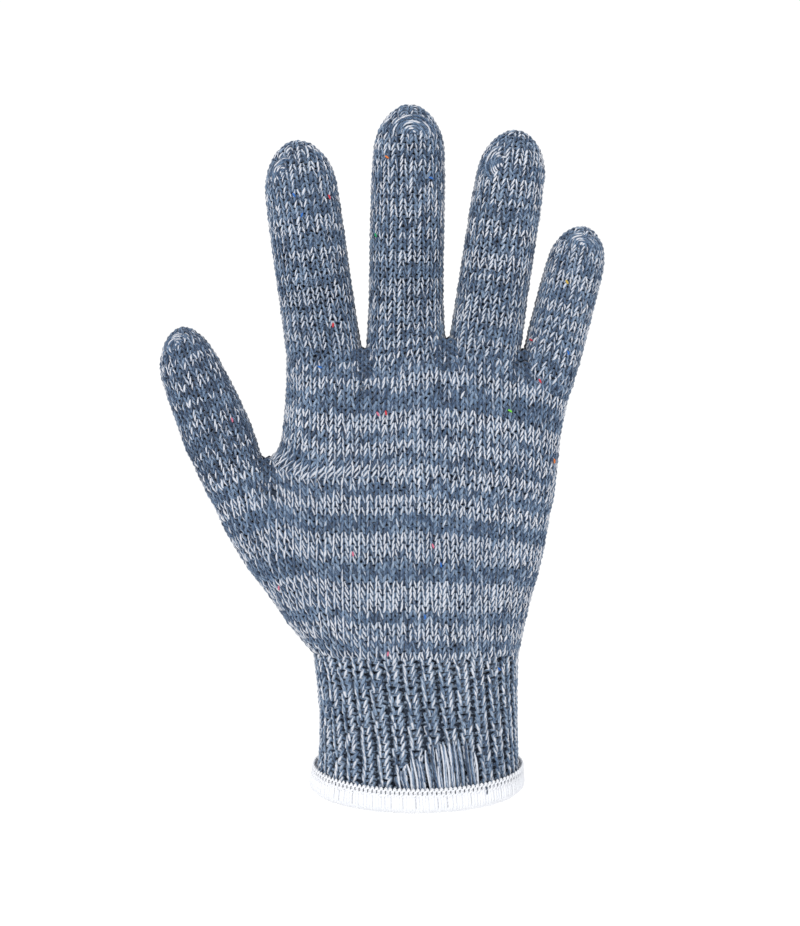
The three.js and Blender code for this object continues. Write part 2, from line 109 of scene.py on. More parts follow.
FINGERS = [
    {"name": "index", "base": 26.9, "width": 25.8, "depth": 24.5, "length": 75.5, "lean": -8,
     "curl": 5, "crotch": -2.4},
    {"name": "middle", "base": 27.9, "width": 25.8, "depth": 25, "length": 86.5, "lean": 1,
     "curl": 6, "crotch": 1},
    {"name": "ring", "base": 25.2, "width": 24.6, "depth": 24, "length": 79, "lean": 8.8,
     "curl": 7, "crotch": -3.1},
    {"name": "little", "base": 18.6, "width": 20.4, "depth": 21, "length": 52.3, "lean": 15,
     "curl": 7, "crotch": -10},
]
THUMB = {"name": "thumb", "base": 22.5, "width": 23.6, "depth": 23, "length": 54,
         "lean": -20.6, "curl": 7}

FINGER_ROWS = [
    {"at": 0, "left": 1, "right": 1, "front": 1.1, "back": 1.1, "square": 3},
    {"at": 0.1, "left": 1.01, "right": 1, "front": 1.07, "back": 1.07, "square": 2.8},
    {"at": 0.25, "left": 1.02, "right": 1, "front": 1.01, "back": 1.02, "square": 2.5},
    {"at": 0.45, "left": 1.02, "right": 0.99, "front": 0.98, "back": 1, "square": 2.3},
    {"at": 0.7, "left": 1, "right": 0.98, "front": 0.97, "back": 0.96, "square": 2.2},
    {"at": 1, "left": 0.9, "right": 0.92, "front": 0.86, "back": 0.86, "square": 2.1},
]
THUMB_ROWS = [
    {"at": 0, "left": 1, "right": 1, "front": 0.98, "back": 1.02, "square": 2.6},
    {"at": 0.25, "left": 1.07, "right": 1, "front": 1, "back": 1.02, "square": 2.3},
    {"at": 0.5, "left": 1.06, "right": 0.92, "front": 0.98, "back": 0.98, "square": 2.2},
    {"at": 0.75, "left": 1.03, "right": 0.76, "front": 0.92, "back": 0.9, "square": 2.1},
    {"at": 1, "left": 0.9, "right": 0.68, "front": 0.82, "back": 0.8, "square": 2.1},
]
LOWER_PALM_ROWS = [
    {"at": 0, "left": 1.01, "right": 1.01, "front": 1.22, "back": 1.2, "square": 2, "parted": 0},
    {"at": 0.16, "left": 1.23, "right": 1.06, "front": 1.17, "back": 1.2, "square": 2.1,
     "parted": 0},
    {"at": 0.34, "left": 1.43, "right": 1.12, "front": 1.1, "back": 1.18, "square": 2.2,
     "parted": 0},
    {"at": 0.52, "left": 1.65, "right": 1.2, "front": 1.05, "back": 1.14, "square": 2.3,
     "parted": 0.03},
    {"at": 0.74, "left": 1.86, "right": 1.27, "front": 1, "back": 1.08, "square": 2.4,
     "parted": 0.2},
    {"at": 0.9, "left": 1.98, "right": 1.31, "front": 0.98, "back": 1.03, "square": 2.45,
     "parted": 0.6},
    {"at": 1, "left": 2.07, "right": 1.345, "front": 0.97, "back": 1, "square": 2.5,
     "parted": 1},
]
UPPER_PALM_ROWS = [
    {"at": 0, "left": 0, "right": 0, "front": 0.97, "back": 1, "square": 2.5, "dented": 0},
    {"at": 0.12, "left": 0.6, "right": 0.08, "front": 0.98, "back": 1, "square": 2.55,
     "dented": 0},
    {"at": 0.35, "left": 0.84, "right": 0.23, "front": 0.975, "back": 0.99, "square": 2.65,
     "dented": 0},
    {"at": 0.6, "left": 0.95, "right": 0.39, "front": 0.95, "back": 0.96, "square": 2.8,
     "dented": 0.07},
    {"at": 0.85, "left": 0.99, "right": 0.69, "front": 0.9, "back": 0.91, "square": 3,
     "dented": 0.3},
    {"at": 1, "left": 1, "right": 1, "front": 0.86, "back": 0.87, "square": 3.2, "dented": 1},
]
PALM_EDGE_ROWS = [
    {"at": 0, "drop": 0},
    {"at": 0.12, "drop": 0.36},
    {"at": 0.54, "drop": 0.36},
    {"at": 0.86, "drop": 0.72},
    {"at": 1, "drop": 1},
]
CUFF_ROWS = [
    {"at": 0, "left": 1.01, "right": 1.02, "front": 1, "back": 1, "ribs": 0.3},
    {"at": 0.2, "left": 0.97, "right": 1.015, "front": 0.96, "back": 0.97, "ribs": 1},
    {"at": 0.5, "left": 0.955, "right": 1.01, "front": 0.93, "back": 0.95, "ribs": 1},
    {"at": 0.75, "left": 0.975, "right": 1.005, "front": 0.93, "back": 0.93, "ribs": 0.75},
    {"at": 1, "left": 1.01, "right": 1.01, "front": 0.935, "back": 0.92, "ribs": 0.15},
]
FOLD_ROWS = [
    {"side": -1, "x": -44, "z": 101, "turn": -52, "length": 18, "width": 5, "depth": 1},
    {"side": -1, "x": -58, "z": 90, "turn": 68, "length": 16, "width": 6, "depth": 0.5},
    {"side": -1, "x": -30, "z": 60, "turn": 60, "length": 15, "width": 6, "depth": 0.6},
    {"side": -1, "x": 33, "z": 62, "turn": -72, "length": 16, "width": 6, "depth": 0.5},
    {"side": 1, "x": -40, "z": 92, "turn": -64, "length": 26, "width": 6, "depth": 1},
    {"side": 1, "x": 5, "z": 118, "turn": 6, "length": 32, "width": 5, "depth": 0.7},
    {"side": 1, "x": 10, "z": 62, "turn": 84, "length": 16, "width": 7, "depth": 0.7},
]

# Stitches. wale and course are a stitch's width and height in millimetres and yarn is its
# yarn's radius. tone is the share of white, lean how much more the first leg has of it, and
# open how much thinner the yarn is where the finger stretches it. dye is 0 for the darkest
# yarn and 1 for the palest.
KNITS = {
    "index": {"wale": 3.3, "course": 1.88, "yarn": 0.62, "tone": 0.5, "lean": 0.1,
              "open": 0.16, "dye": 0.48},
    "middle": {"wale": 3.3, "course": 1.9, "yarn": 0.62, "tone": 0.5, "lean": 0.1,
               "open": 0.16, "dye": 0.48},
    "ring": {"wale": 3.25, "course": 1.88, "yarn": 0.61, "tone": 0.52, "lean": 0.1,
             "open": 0.1, "dye": 0.5},
    "little": {"wale": 3.0, "course": 1.8, "yarn": 0.6, "tone": 0.52, "lean": 0.08,
               "open": 0, "dye": 0.55},
    "thumb": {"wale": 3.0, "course": 1.85, "yarn": 0.61, "tone": 0.34, "lean": 0.08,
              "open": 0.05, "dye": 0.28},
    "upper_palm": {"wale": 3.0, "course": 2.05, "yarn": 0.65, "tone": 0.5, "lean": 0.04,
                   "open": 0, "dye": 0.5},
    "lower_palm": {"wale": 2.9, "course": 2.06, "yarn": 0.65, "tone": 0.55, "lean": 0.04,
                   "open": 0, "dye": 0.52},
}
SHADOW_SHEET_INSET = 1.8  # depth of the dark sheet of painted shadow under the knit
STRAND_TURN = 0.05  # how far the white strand turns round the yarn along a leg, in turns
# Light and dark stripes across the palm, charted from the top course down.
UPPER_PALM_STRIPES = [
    {"courses": 1, "tone": 0.5}, {"courses": 2, "tone": 0.3}, {"courses": 2, "tone": 0.85},
    {"courses": 1, "tone": 0.35}, {"courses": 3, "tone": 0.12}, {"courses": 3, "tone": 0.92},
    {"courses": 2, "tone": 0.32}, {"courses": 2, "tone": 0.82}, {"courses": 2, "tone": 0.35},
    {"courses": 2, "tone": 0.9},
]
LOWER_PALM_STRIPES = [
    {"courses": 1, "tone": 0.7}, {"courses": 2, "tone": 0.2}, {"courses": 3, "tone": 0.85},
    {"courses": 3, "tone": 0.1}, {"courses": 4, "tone": 0.85}, {"courses": 1, "tone": 0.55},
    {"courses": 3, "tone": 0.15}, {"courses": 5, "tone": 0.9}, {"courses": 2, "tone": 0.3},
    {"courses": 3, "tone": 0.85}, {"courses": 2, "tone": 0.35}, {"courses": 2, "tone": 0.9},
]
# The cuff's stripes, also from the top down, tuned and not counted course by course.
CUFF_STRIPES = [
    {"courses": 3, "tone": 0.95}, {"courses": 2, "tone": 0.4}, {"courses": 2, "tone": 0.75},
    {"courses": 3, "tone": 0.45}, {"courses": 4, "tone": 0.9}, {"courses": 3, "tone": 0.5},
    {"courses": 5, "tone": 0.85},
]
CUFF_COURSE = 2.15
CUFF_YARN = 0.77
CUFF_REACH = 0.92
CUFF_SWING = 0.25
CUFF_SKEW = 0.03
CUFF_DYE = 0.92
CUFF_KNIT_SHARE = 0.88  # share of a rib's pitch that its knit column takes
CUFF_DRIFT = 0.75  # ribs by which the columns drift towards the hem

# The course of the yarn through one loop, in turns of half a loop.
LOOP_STEPS = (0, 0.3, 0.5, 0.7, 1, 1.3, 1.5, 1.7)
LOOP_SWING = 0.26  # sideways swing, in wales
LOOP_REACH = 0.84  # reach up and down, in courses
LOOP_SKEW = 0.11  # lean of the loops, in wales for each course
LOOP_DEPTH = 0.45
LOOP_INSET = 1.1
YARN_SIDES = 5

# Photograph's frame and scale
IMAGE_SIZE = (800, 926)
PIXEL = 0.3446  # millimetres for each pixel at the glove
ORIGIN_PIXEL = (416, 788)  # where the origin lies in the photograph
CAMERA_DISTANCE = 1250
CAMERA_ELEVATION = 3

# Coloured fibres caught in the yarn, at the pixels of the photograph where they were seen
FLECKS = [
    {"pixel": (376, 235), "colour": "green", "turn": 60},
    {"pixel": (387, 157), "colour": "orange", "turn": 30},
    {"pixel": (431, 178), "colour": "blue", "turn": 20},
    {"pixel": (329, 197), "colour": "red", "turn": 70},
    {"pixel": (294, 195), "colour": "blue", "turn": 60},
    {"pixel": (302, 215), "colour": "blue", "turn": 110},
    {"pixel": (333, 325), "colour": "red", "turn": 95},
    {"pixel": (320, 367), "colour": "blue", "turn": 20},
    {"pixel": (232, 420), "colour": "pink", "turn": 80},
    {"pixel": (378, 414), "colour": "pink", "turn": 60},
    {"pixel": (386, 413), "colour": "red", "turn": 80},
    {"pixel": (353, 554), "colour": "pink", "turn": 80},
    {"pixel": (433, 546), "colour": "pink", "turn": 70},
    {"pixel": (279, 588), "colour": "pink", "turn": 100},
    {"pixel": (441, 565), "colour": "blue", "turn": 80},
    {"pixel": (425, 617), "colour": "blue", "turn": 90},
    {"pixel": (499, 669), "colour": "blue", "turn": 40},
    {"pixel": (388, 654), "colour": "pink", "turn": 100},
    {"pixel": (510, 411), "colour": "lime", "turn": 30},
    {"pixel": (554, 461), "colour": "orange", "turn": 80},
    {"pixel": (531, 340), "colour": "red", "turn": 20},
    {"pixel": (540, 381), "colour": "red", "turn": 60},
    {"pixel": (568, 353), "colour": "blue", "turn": 80},
    {"pixel": (567, 282), "colour": "yellow", "turn": 60},
]
FLECK_COLOURS = {
    "green": (0.01, 0.33, 0.12),
    "lime": (0.2, 0.75, 0.05),
    "yellow": (0.6, 0.42, 0.06),
    "orange": (0.75, 0.2, 0.04),
    "red": (0.6, 0.04, 0.06),
    "pink": (0.65, 0.18, 0.28),
    "blue": (0.03, 0.16, 0.55),
}


def ease(t):
    """A smooth step from 0 to 1."""
    t = np.clip(t, 0, 1)
    return t * t * (3 - 2 * t)


def mix(a, b, t):
    """The value a share t of the way from a to b."""
    return a + (b - a) * t


def follow(rows, at, column):
    """A column of a table at the shares at, on a smooth curve through its rows."""
    places = np.array([row["at"] for row in rows], float)
    values = np.array([row[column] for row in rows], float)
    at = np.asarray(at, float)
    i = np.clip(np.searchsorted(places, at, side="left") - 1, 0, len(rows) - 2)
    before, after = np.maximum(i - 1, 0), np.minimum(i + 2, len(rows) - 1)
    a, b = values[i], values[i + 1]
    span = places[i + 1] - places[i]
    t = np.clip((at - places[i]) / span, 0, 1)
    leaving = (b - values[before]) / (places[i + 1] - places[before]) * span
    reaching = (values[after] - a) / (places[after] - places[i]) * span
    return (a * (1 + 2 * t) * (1 - t) ** 2 + leaving * t * (1 - t) ** 2
            + b * t * t * (3 - 2 * t) - reaching * t * t * (1 - t))


def signed_power(value, power):
    """A power that keeps the value's sign."""
    return np.sign(value) * np.abs(value) ** power


# Main lines of the hand
LOWER_TOP = CUFF_HEIGHT + LOWER_PALM_HEIGHT
KNUCKLE_HEIGHT = LOWER_TOP + UPPER_PALM_HEIGHT
HALF_WRIST = WRIST_WIDTH / 2
KNUCKLE_WIDTH = sum(finger["base"] for finger in FINGERS)
CROTCHES = [{"at": PALM_SHIFT - KNUCKLE_WIDTH / 2, "z": KNUCKLE_HEIGHT + INDEX_SIDE_RISE}]
for finger_row in FINGERS:
    CROTCHES.append({"at": CROTCHES[-1]["at"] + finger_row["base"],
                     "z": KNUCKLE_HEIGHT + finger_row["crotch"]})
KNUCKLE_LEFT, KNUCKLE_RIGHT = CROTCHES[0]["at"], CROTCHES[-1]["at"]
OUTER_LEFT = -LOWER_PALM_ROWS[-1]["left"] * HALF_WRIST
OUTER_RIGHT = LOWER_PALM_ROWS[-1]["right"] * HALF_WRIST
THUMB_CROTCH_X = OUTER_LEFT + THUMB["base"] * math.cos(math.radians(THUMB["lean"]))
THUMB_CROTCH_Z = LOWER_TOP + THUMB_CROTCH_RISE
PALM_LEFT = THUMB_CROTCH_X + JOIN_GAP / 2


def knuckle_line(x):
    """Height of the line through the finger crotches."""
    return follow(CROTCHES, np.clip(x, KNUCKLE_LEFT, KNUCKLE_RIGHT), "z")


def crotch_line(x):
    """Height of the lower palm's top: the thumb's base, then the palm's edge."""
    x = np.asarray(x, float)
    outer = LOWER_TOP - THUMB_OUTER_DROP
    thumb = mix(outer, THUMB_CROTCH_Z, (x - OUTER_LEFT) / (THUMB_CROTCH_X - OUTER_LEFT))
    share = (x - THUMB_CROTCH_X) / (OUTER_RIGHT - THUMB_CROTCH_X)
    drop = follow(PALM_EDGE_ROWS, share, "drop")
    palm = mix(THUMB_CROTCH_Z, LOWER_TOP - LITTLE_SIDE_DROP, drop)
    return np.where(x < THUMB_CROTCH_X, thumb, palm)


def hand_plane(z):
    """The hand's middle plane, which comes forward above the wrist opening."""
    return -WRIST_SET_BACK * ease(z / (CUFF_HEIGHT + SETTING_FORWARD * LOWER_PALM_HEIGHT))


def thickness_at(span, x):
    """Half thickness of a rounded section at x, to the front and to the back."""
    across = np.clip(2 * (x - span["left"]) / (span["right"] - span["left"]) - 1, -1, 1)
    share = (1 - np.abs(across) ** span["square"]) ** (1 / span["square"])
    return span["front"] * share, span["back"] * share


def folds_at(x, z, side):
    """How far the folds draw the palm in on one side."""
    drawn = np.zeros_like(x)
    for fold in FOLD_ROWS:
        if fold["side"] != side:
            continue
        c, s = math.cos(math.radians(fold["turn"])), math.sin(math.radians(fold["turn"]))
        along = (x - fold["x"]) * c + (z - fold["z"]) * s
        beside = (z - fold["z"]) * c - (x - fold["x"]) * s
        fade = (2 * along / fold["length"]) ** 2 + (beside / fold["width"]) ** 2
        drawn += fold["depth"] * FOLD_DEPTH * np.exp(-fade)
    return drawn


def top_row_span():
    """The palm's section at the knuckle line."""
    top = UPPER_PALM_ROWS[-1]
    return {"left": KNUCKLE_LEFT, "right": KNUCKLE_RIGHT, "square": top["square"],
            "front": PALM_DEPTH / 2 * top["front"], "back": PALM_DEPTH / 2 * top["back"]}


def finger_base(i):
    """The section with which finger i leaves the palm."""
    left = CROTCHES[i]["at"] + (JOIN_GAP / 2 if i > 0 else 0)
    right = CROTCHES[i + 1]["at"] - (JOIN_GAP / 2 if i < len(FINGERS) - 1 else 0)
    front, back = thickness_at(top_row_span(), np.array((left + right) / 2))
    return {"left": left, "right": right, "front": float(front), "back": float(back),
            "square": KNUCKLE_SQUARE}


FINGER_BASES = [finger_base(i) for i in range(len(FINGERS))]
THUMB_BASE = {"left": OUTER_LEFT, "right": THUMB_CROTCH_X - JOIN_GAP / 2,
              "front": THUMB["depth"] / 2 * THUMB_ROWS[0]["front"],
              "back": THUMB["depth"] / 2 * THUMB_ROWS[0]["back"],
              "square": THUMB_LOBE_SQUARE}
PALM_BASE = {"left": PALM_LEFT, "right": OUTER_RIGHT, "square": UPPER_PALM_ROWS[0]["square"],
             "front": PALM_DEPTH / 2 * UPPER_PALM_ROWS[0]["front"],
             "back": PALM_DEPTH / 2 * UPPER_PALM_ROWS[0]["back"]}

QUARTER_POINTS = 48
FINE_POINTS = 160


def even_quarter(plain, true):
    """A quarter of a section at even steps along its plain line, and that line's length.

    The points come twice, with the section's dents and without them.
    """
    steps = np.linalg.norm(np.diff(plain, axis=0), axis=1)
    travelled = np.concatenate([[0], np.cumsum(steps)])
    wanted = np.linspace(0, travelled[-1], QUARTER_POINTS, endpoint=False)
    dented, smooth = (np.stack([np.interp(wanted, travelled, line[:, axis])
                                for axis in range(3)], 1) for line in (true, plain))
    return dented, travelled[-1], smooth


class Tube:
    """A knitted tube's outside as a grid of rows of four quarters, from below upwards.

    A place on it is q, from 0 to 4 round the section, and v, in millimetres along it.
    """

    def __init__(self, rows):
        self.points = np.array([np.concatenate([q[0] for q in row]) for row in rows])
        smooth = np.array([np.concatenate([q[2] for q in row]) for row in rows])
        self.quarters = np.array([[q[1] for q in row] for row in rows])
        steps = np.linalg.norm(np.diff(self.points, axis=0), axis=2).mean(1)
        self.along = np.concatenate([[0], np.cumsum(steps)])
        self.length = self.along[-1]
        across = np.roll(smooth, -1, 1) - np.roll(smooth, 1, 1)
        up = np.gradient(smooth, axis=0)
        normals = np.cross(across, up)
        normals /= np.maximum(np.linalg.norm(normals, axis=2, keepdims=True), 1e-9)
        outward = self.points - self.points.mean(1, keepdims=True)
        if (normals * outward).sum() < 0:
            normals = -normals
        self.normals = normals

    def row_of(self, v):
        """The row at v, on past both ends."""
        along, last = self.along, len(self.along) - 1
        row = np.interp(v, along, np.arange(last + 1))
        row = np.where(v < 0, v / (along[1] - along[0]), row)
        past = last + (v - along[-1]) / max(along[-1] - along[-2], 1e-6)
        return np.where(v > along[-1], past, row)

    def at(self, q, v):
        """Points and outward normals at places q, v."""
        row = self.row_of(np.asarray(v, float))
        j = np.clip(np.floor(row).astype(int), 0, len(self.along) - 2)
        t = np.clip(row - j, -3, 4)[:, None]
        count = self.points.shape[1]
        place = np.mod(np.asarray(q, float), 4) * QUARTER_POINTS
        i = np.floor(place).astype(int) % count
        s = (place - np.floor(place))[:, None]
        found = []
        for grid in (self.points, self.normals):
            low = mix(grid[j, i], grid[j, (i + 1) % count], s)
            high = mix(grid[j + 1, i], grid[j + 1, (i + 1) % count], s)
            found.append(mix(low, high, t))
        normals = found[1] / np.linalg.norm(found[1], axis=1, keepdims=True)
        return found[0], normals

    def quarters_at(self, v):
        """The lengths of the four quarters at v."""
        row = float(np.clip(self.row_of(np.array(v)), 0, len(self.along) - 1))
        return [float(np.interp(row, np.arange(len(self.along)), self.quarters[:, c]))
                for c in range(4)]


def digit_rows(digit, rows, base, line):
    """The sections of a finger or the thumb, from its base to its tip."""
    half = digit["width"] / 2
    tip = TIP_LENGTH * half
    tip_share = tip / digit["length"]
    shares = [mix(0, 1 - tip_share, i / 60) for i in range(60)]
    shares += [1 - tip_share + tip_share * math.sin(i / 24 * 0.97 * math.pi / 2)
               for i in range(25)]
    left = np.array([base["left"], 0, float(line(base["left"]))])
    right = np.array([base["right"], 0, float(line(base["right"]))])
    chord = np.linalg.norm(right - left)
    lean = math.radians(digit["lean"])
    axis = np.array([math.sin(lean), 0, math.cos(lean)])
    level = np.array([math.cos(lean), 0, -math.sin(lean)])
    found = []
    for at in shares:
        row = {column: float(follow(rows, at, column)) for column in rows[0]}
        across = mix((right - left) / chord, level, float(ease(at / LEAN_TAKEN_UP)))
        across /= np.linalg.norm(across)
        settled = float(ease(at / SECTION_TAKEN_UP))
        square = mix(base["square"], row["square"], settled)
        from_tip = min(1, digit["length"] * (1 - at) / tip)
        dome = math.sqrt(1 - (1 - from_tip) ** 2)
        reach = {
            "left": mix(chord / 2, half * row["left"], settled) * dome,
            "right": mix(chord / 2, half * row["right"], settled) * dome,
            "front": mix(base["front"], digit["depth"] / 2 * row["front"], settled) * dome,
            "back": mix(base["back"], digit["depth"] / 2 * row["back"], settled) * dome,
        }
        middle = (left + right) / 2
        middle[1] = hand_plane(middle[2]) + digit["curl"] * float(ease(at))
        middle = middle + axis * digit["length"] * at
        leaving = max(0, 1 - at / BASE_TAKEN_UP)
        quarters = []
        for start in (-0.25, 0, 0.25, 0.5):
            angle = (start + np.linspace(0, 0.25, FINE_POINTS)) * TURN
            c, s = np.cos(angle), np.sin(angle)
            x = signed_power(c, 2 / square) * np.where(c < 0, reach["left"], reach["right"])
            y = signed_power(s, 2 / square) * np.where(s < 0, reach["front"], reach["back"])
            points = middle + x[:, None] * across
            points[:, 1] += y
            edge = line(points[:, 0]) + JOIN_GAP / 2
            points[:, 2] = mix(points[:, 2], edge + digit["length"] * at, leaving)
            quarters.append(even_quarter(points, points))
        found.append(quarters)
    return found


def palm_quarters(span, place, thickness, plain, front_x):
    """A palm section's four quarters, which start at front_x on its front."""
    turn = np.linspace(0, math.pi / 2, FINE_POINTS)
    from_middle = np.sin(turn) ** 0.9
    quarters = []
    for side, start, end in ((-1, front_x, span["right"]), (1, span["right"], front_x),
                             (1, front_x, span["left"]), (-1, span["left"], front_x)):
        outward = start == front_x
        share = from_middle if outward else 1 - from_middle[::-1]
        x = mix(start, end, share)
        z = place(x)
        lines = []
        for profile in (plain, thickness):
            half = profile(x)[0 if side < 0 else 1]
            fold = folds_at(x, z, side) * np.minimum(1, half / WALL / 2)
            lines.append(np.stack([x, hand_plane(z) + side * (half - fold), z], 1))
        quarters.append(even_quarter(*lines))
    return quarters


PALM_FRONT_X = 6  # where the front's wales run straight up


def upper_palm_rows():
    """The upper palm's sections, from the crotch line up to the knuckle line."""
    found = []
    for at in np.linspace(0, 1, 60):
        row = {column: float(follow(UPPER_PALM_ROWS, at, column))
               for column in UPPER_PALM_ROWS[0]}
        span = {"left": mix(PALM_BASE["left"], KNUCKLE_LEFT, row["left"]),
                "right": mix(PALM_BASE["right"], KNUCKLE_RIGHT, row["right"]),
                "front": PALM_DEPTH / 2 * row["front"], "back": PALM_DEPTH / 2 * row["back"],
                "square": row["square"]}

        def place(x, span=span, at=at):
            share = (x - span["left"]) / (span["right"] - span["left"])
            lower = crotch_line(mix(PALM_LEFT, OUTER_RIGHT, share)) + JOIN_GAP / 2
            upper = knuckle_line(mix(KNUCKLE_LEFT, KNUCKLE_RIGHT, share)) - JOIN_GAP / 2
            return mix(lower, upper, at)

        def plain(x, span=span):
            return thickness_at(span, x)

        def thickness(x, span=span, row=row):
            share = (x - span["left"]) / (span["right"] - span["left"])
            own = [thickness_at(base, mix(KNUCKLE_LEFT, KNUCKLE_RIGHT, share))
                   for base in FINGER_BASES]
            return lobed(span, x, own, row["dented"])

        found.append(palm_quarters(span, place, thickness, plain, PALM_FRONT_X))
    return found


def lower_palm_rows():
    """The lower palm's sections, from the cuff up to the crotch line."""
    found = []
    for at in np.linspace(0, 1, 80):
        row = {column: float(follow(LOWER_PALM_ROWS, at, column))
               for column in LOWER_PALM_ROWS[0]}
        span = {"left": -HALF_WRIST * row["left"], "right": HALF_WRIST * row["right"],
                "front": PALM_DEPTH / 2 * row["front"], "back": PALM_DEPTH / 2 * row["back"],
                "square": row["square"]}

        def place(x, span=span, at=at):
            share = (x - span["left"]) / (span["right"] - span["left"])
            upper = crotch_line(mix(OUTER_LEFT, OUTER_RIGHT, share)) - JOIN_GAP / 2
            return mix(CUFF_HEIGHT + JOIN_GAP, upper, at)

        def plain(x, span=span):
            return thickness_at(span, x)

        def thickness(x, span=span, row=row):
            share = (x - span["left"]) / (span["right"] - span["left"])
            top_x = mix(OUTER_LEFT, OUTER_RIGHT, share)
            thumb, palm = thickness_at(THUMB_BASE, top_x), thickness_at(PALM_BASE, top_x)
            own = [tuple(np.where(top_x < THUMB_CROTCH_X, a, b) for a, b in zip(thumb, palm))]
            return lobed(span, x, own, row["parted"])

        found.append(palm_quarters(span, place, thickness, plain, PALM_FRONT_X))
    return found


def lobed(span, x, own, parted):
    """Half thicknesses of a section that parts into lobes, one for each digit."""
    from_end = np.minimum(x - span["left"], span["right"] - x)
    least = CROTCH_LEAST * np.clip(from_end / WALL, 0, 1)
    halves = []
    for side, whole in enumerate(thickness_at(span, x)):
        lobes = np.maximum.reduce([lobe[side] for lobe in own])
        halves.append(np.maximum(mix(whole, lobes, parted), least))
    return halves


def cuff_points(angle, height):
    """The cuff's outside at its ribs' crests, from arrays of angles and heights."""
    c, s = np.cos(angle), np.sin(angle)
    opening = opening_at(angle)
    at = np.clip((height - opening) / (CUFF_HEIGHT - opening), 0, 1)
    sides = {name: follow(CUFF_ROWS, at, name) for name in ("left", "right", "front", "back")}
    wide = HALF_WRIST * np.where(c < 0, sides["left"], sides["right"])
    deep = WRIST_DEPTH / 2 * np.where(s < 0, sides["front"], sides["back"])
    return np.stack([c * wide, hand_plane(CUFF_HEIGHT * at) + s * deep, height], 1)


def opening_at(angle):
    """Height of the wrist opening's edge."""
    return np.sin(angle) * (WRIST_DEPTH / 2) * math.tan(math.radians(CUFF_TILT))


def cuff_rows(low, high):
    """Sections round the wrist, from low above the opening's edge up to high."""
    found = []
    for at in np.linspace(0, 1, 50):
        quarters = []
        for start in (-0.25, 0, 0.25, 0.5):
            angle = (start + np.linspace(0, 0.25, FINE_POINTS)) * TURN
            points = cuff_points(angle, mix(opening_at(angle) + low, high, at))
            quarters.append(even_quarter(points, points))
        found.append(quarters)
    return found


def sweep(path, ups, radii, closed):
    """Rings of a tube along a path, its faces, and the share of each face along it."""
    if closed:
        ahead, behind = np.roll(path, -1, 0), np.roll(path, 1, 0)
    else:
        ahead = np.concatenate([path[1:], path[-1:]])
        behind = np.concatenate([path[:1], path[:-1]])
    run = ahead - behind
    run /= np.maximum(np.linalg.norm(run, axis=1, keepdims=True), 1e-9)
    side = np.cross(run, ups)
    side /= np.maximum(np.linalg.norm(side, axis=1, keepdims=True), 1e-9)
    top = np.cross(side, run)
    angle = np.arange(YARN_SIDES) / YARN_SIDES * TURN
    ring = np.cos(angle)[None, :, None] * top[:, None] + np.sin(angle)[None, :, None] * side[:, None]
    points = path[:, None] + ring * np.asarray(radii, float).reshape(-1, 1, 1)
    count = len(path)
    i = np.arange(count if closed else count - 1)
    j = np.arange(YARN_SIDES)
    a, b = np.meshgrid(i, j, indexing="ij")
    nexts, beside = (a + 1) % count, (b + 1) % YARN_SIDES
    faces = np.stack([a * YARN_SIDES + b, a * YARN_SIDES + beside,
                      nexts * YARN_SIDES + beside, nexts * YARN_SIDES + b], 2)
    return points.reshape(-1, 3), faces.reshape(-1, 4), a.ravel(), b.ravel()


class Yarns:
    """Yarns collected for one piece, with their strands' places as UV maps."""

    def __init__(self):
        self.points, self.faces, self.strand, self.tone, self.bake = [], [], [], [], []
        self.count = 0

    def lay(self, path, ups, radii, shift, tone, closed=False, run=None, dye=None):
        """Adds a yarn. shift turns its white strand away from the outside, in turns."""
        points, faces, i, j = sweep(path, ups, radii, closed)
        length = len(path)
        shift = np.broadcast_to(shift, length)
        tone = np.broadcast_to(tone, length)
        dye = np.broadcast_to(self.count % 97 / 97 if dye is None else dye, length)
        if run is None:
            steps = np.linalg.norm(np.diff(path, axis=0), axis=1)
            run = np.concatenate([[0], np.cumsum(steps)])
        step = run[-1] / max(length - 1, 1)
        run = np.append(run, run[-1] + step)
        ahead = (i + 1) % length
        corner = [(i, i, j), (i, i, j + 1), (i + 1, ahead, j + 1), (i + 1, ahead, j)]
        strand = [np.stack([b / YARN_SIDES - shift[w], run[a]], 1) for a, w, b in corner]
        tones = [np.stack([tone[w], dye[w]], 1) for _, w, _ in corner]
        pads = [np.stack([a / (length + 1), (b + 0.02) / (YARN_SIDES + 0.2)], 1)
                for a, _, b in corner]
        self.strand.append(np.stack(strand, 1))
        self.tone.append(np.stack(tones, 1))
        self.bake.append((self.count, np.stack(pads, 1)))
        self.faces.append(faces + sum(len(p) for p in self.points))
        self.points.append(points)
        self.count += 1

    def piece(self, name, material, slot, nodes):
        """Makes one mesh of all yarns laid so far."""
        bake = np.concatenate([pad * [1, 1 / self.count] + [0, k / self.count]
                               for k, pad in self.bake])
        maps = {"OFBake": bake, "Yarn": np.concatenate(self.strand),
                "Tone": np.concatenate(self.tone)}
        return mesh_piece(name, np.concatenate(self.points), np.concatenate(self.faces),
                          maps, material, nodes)


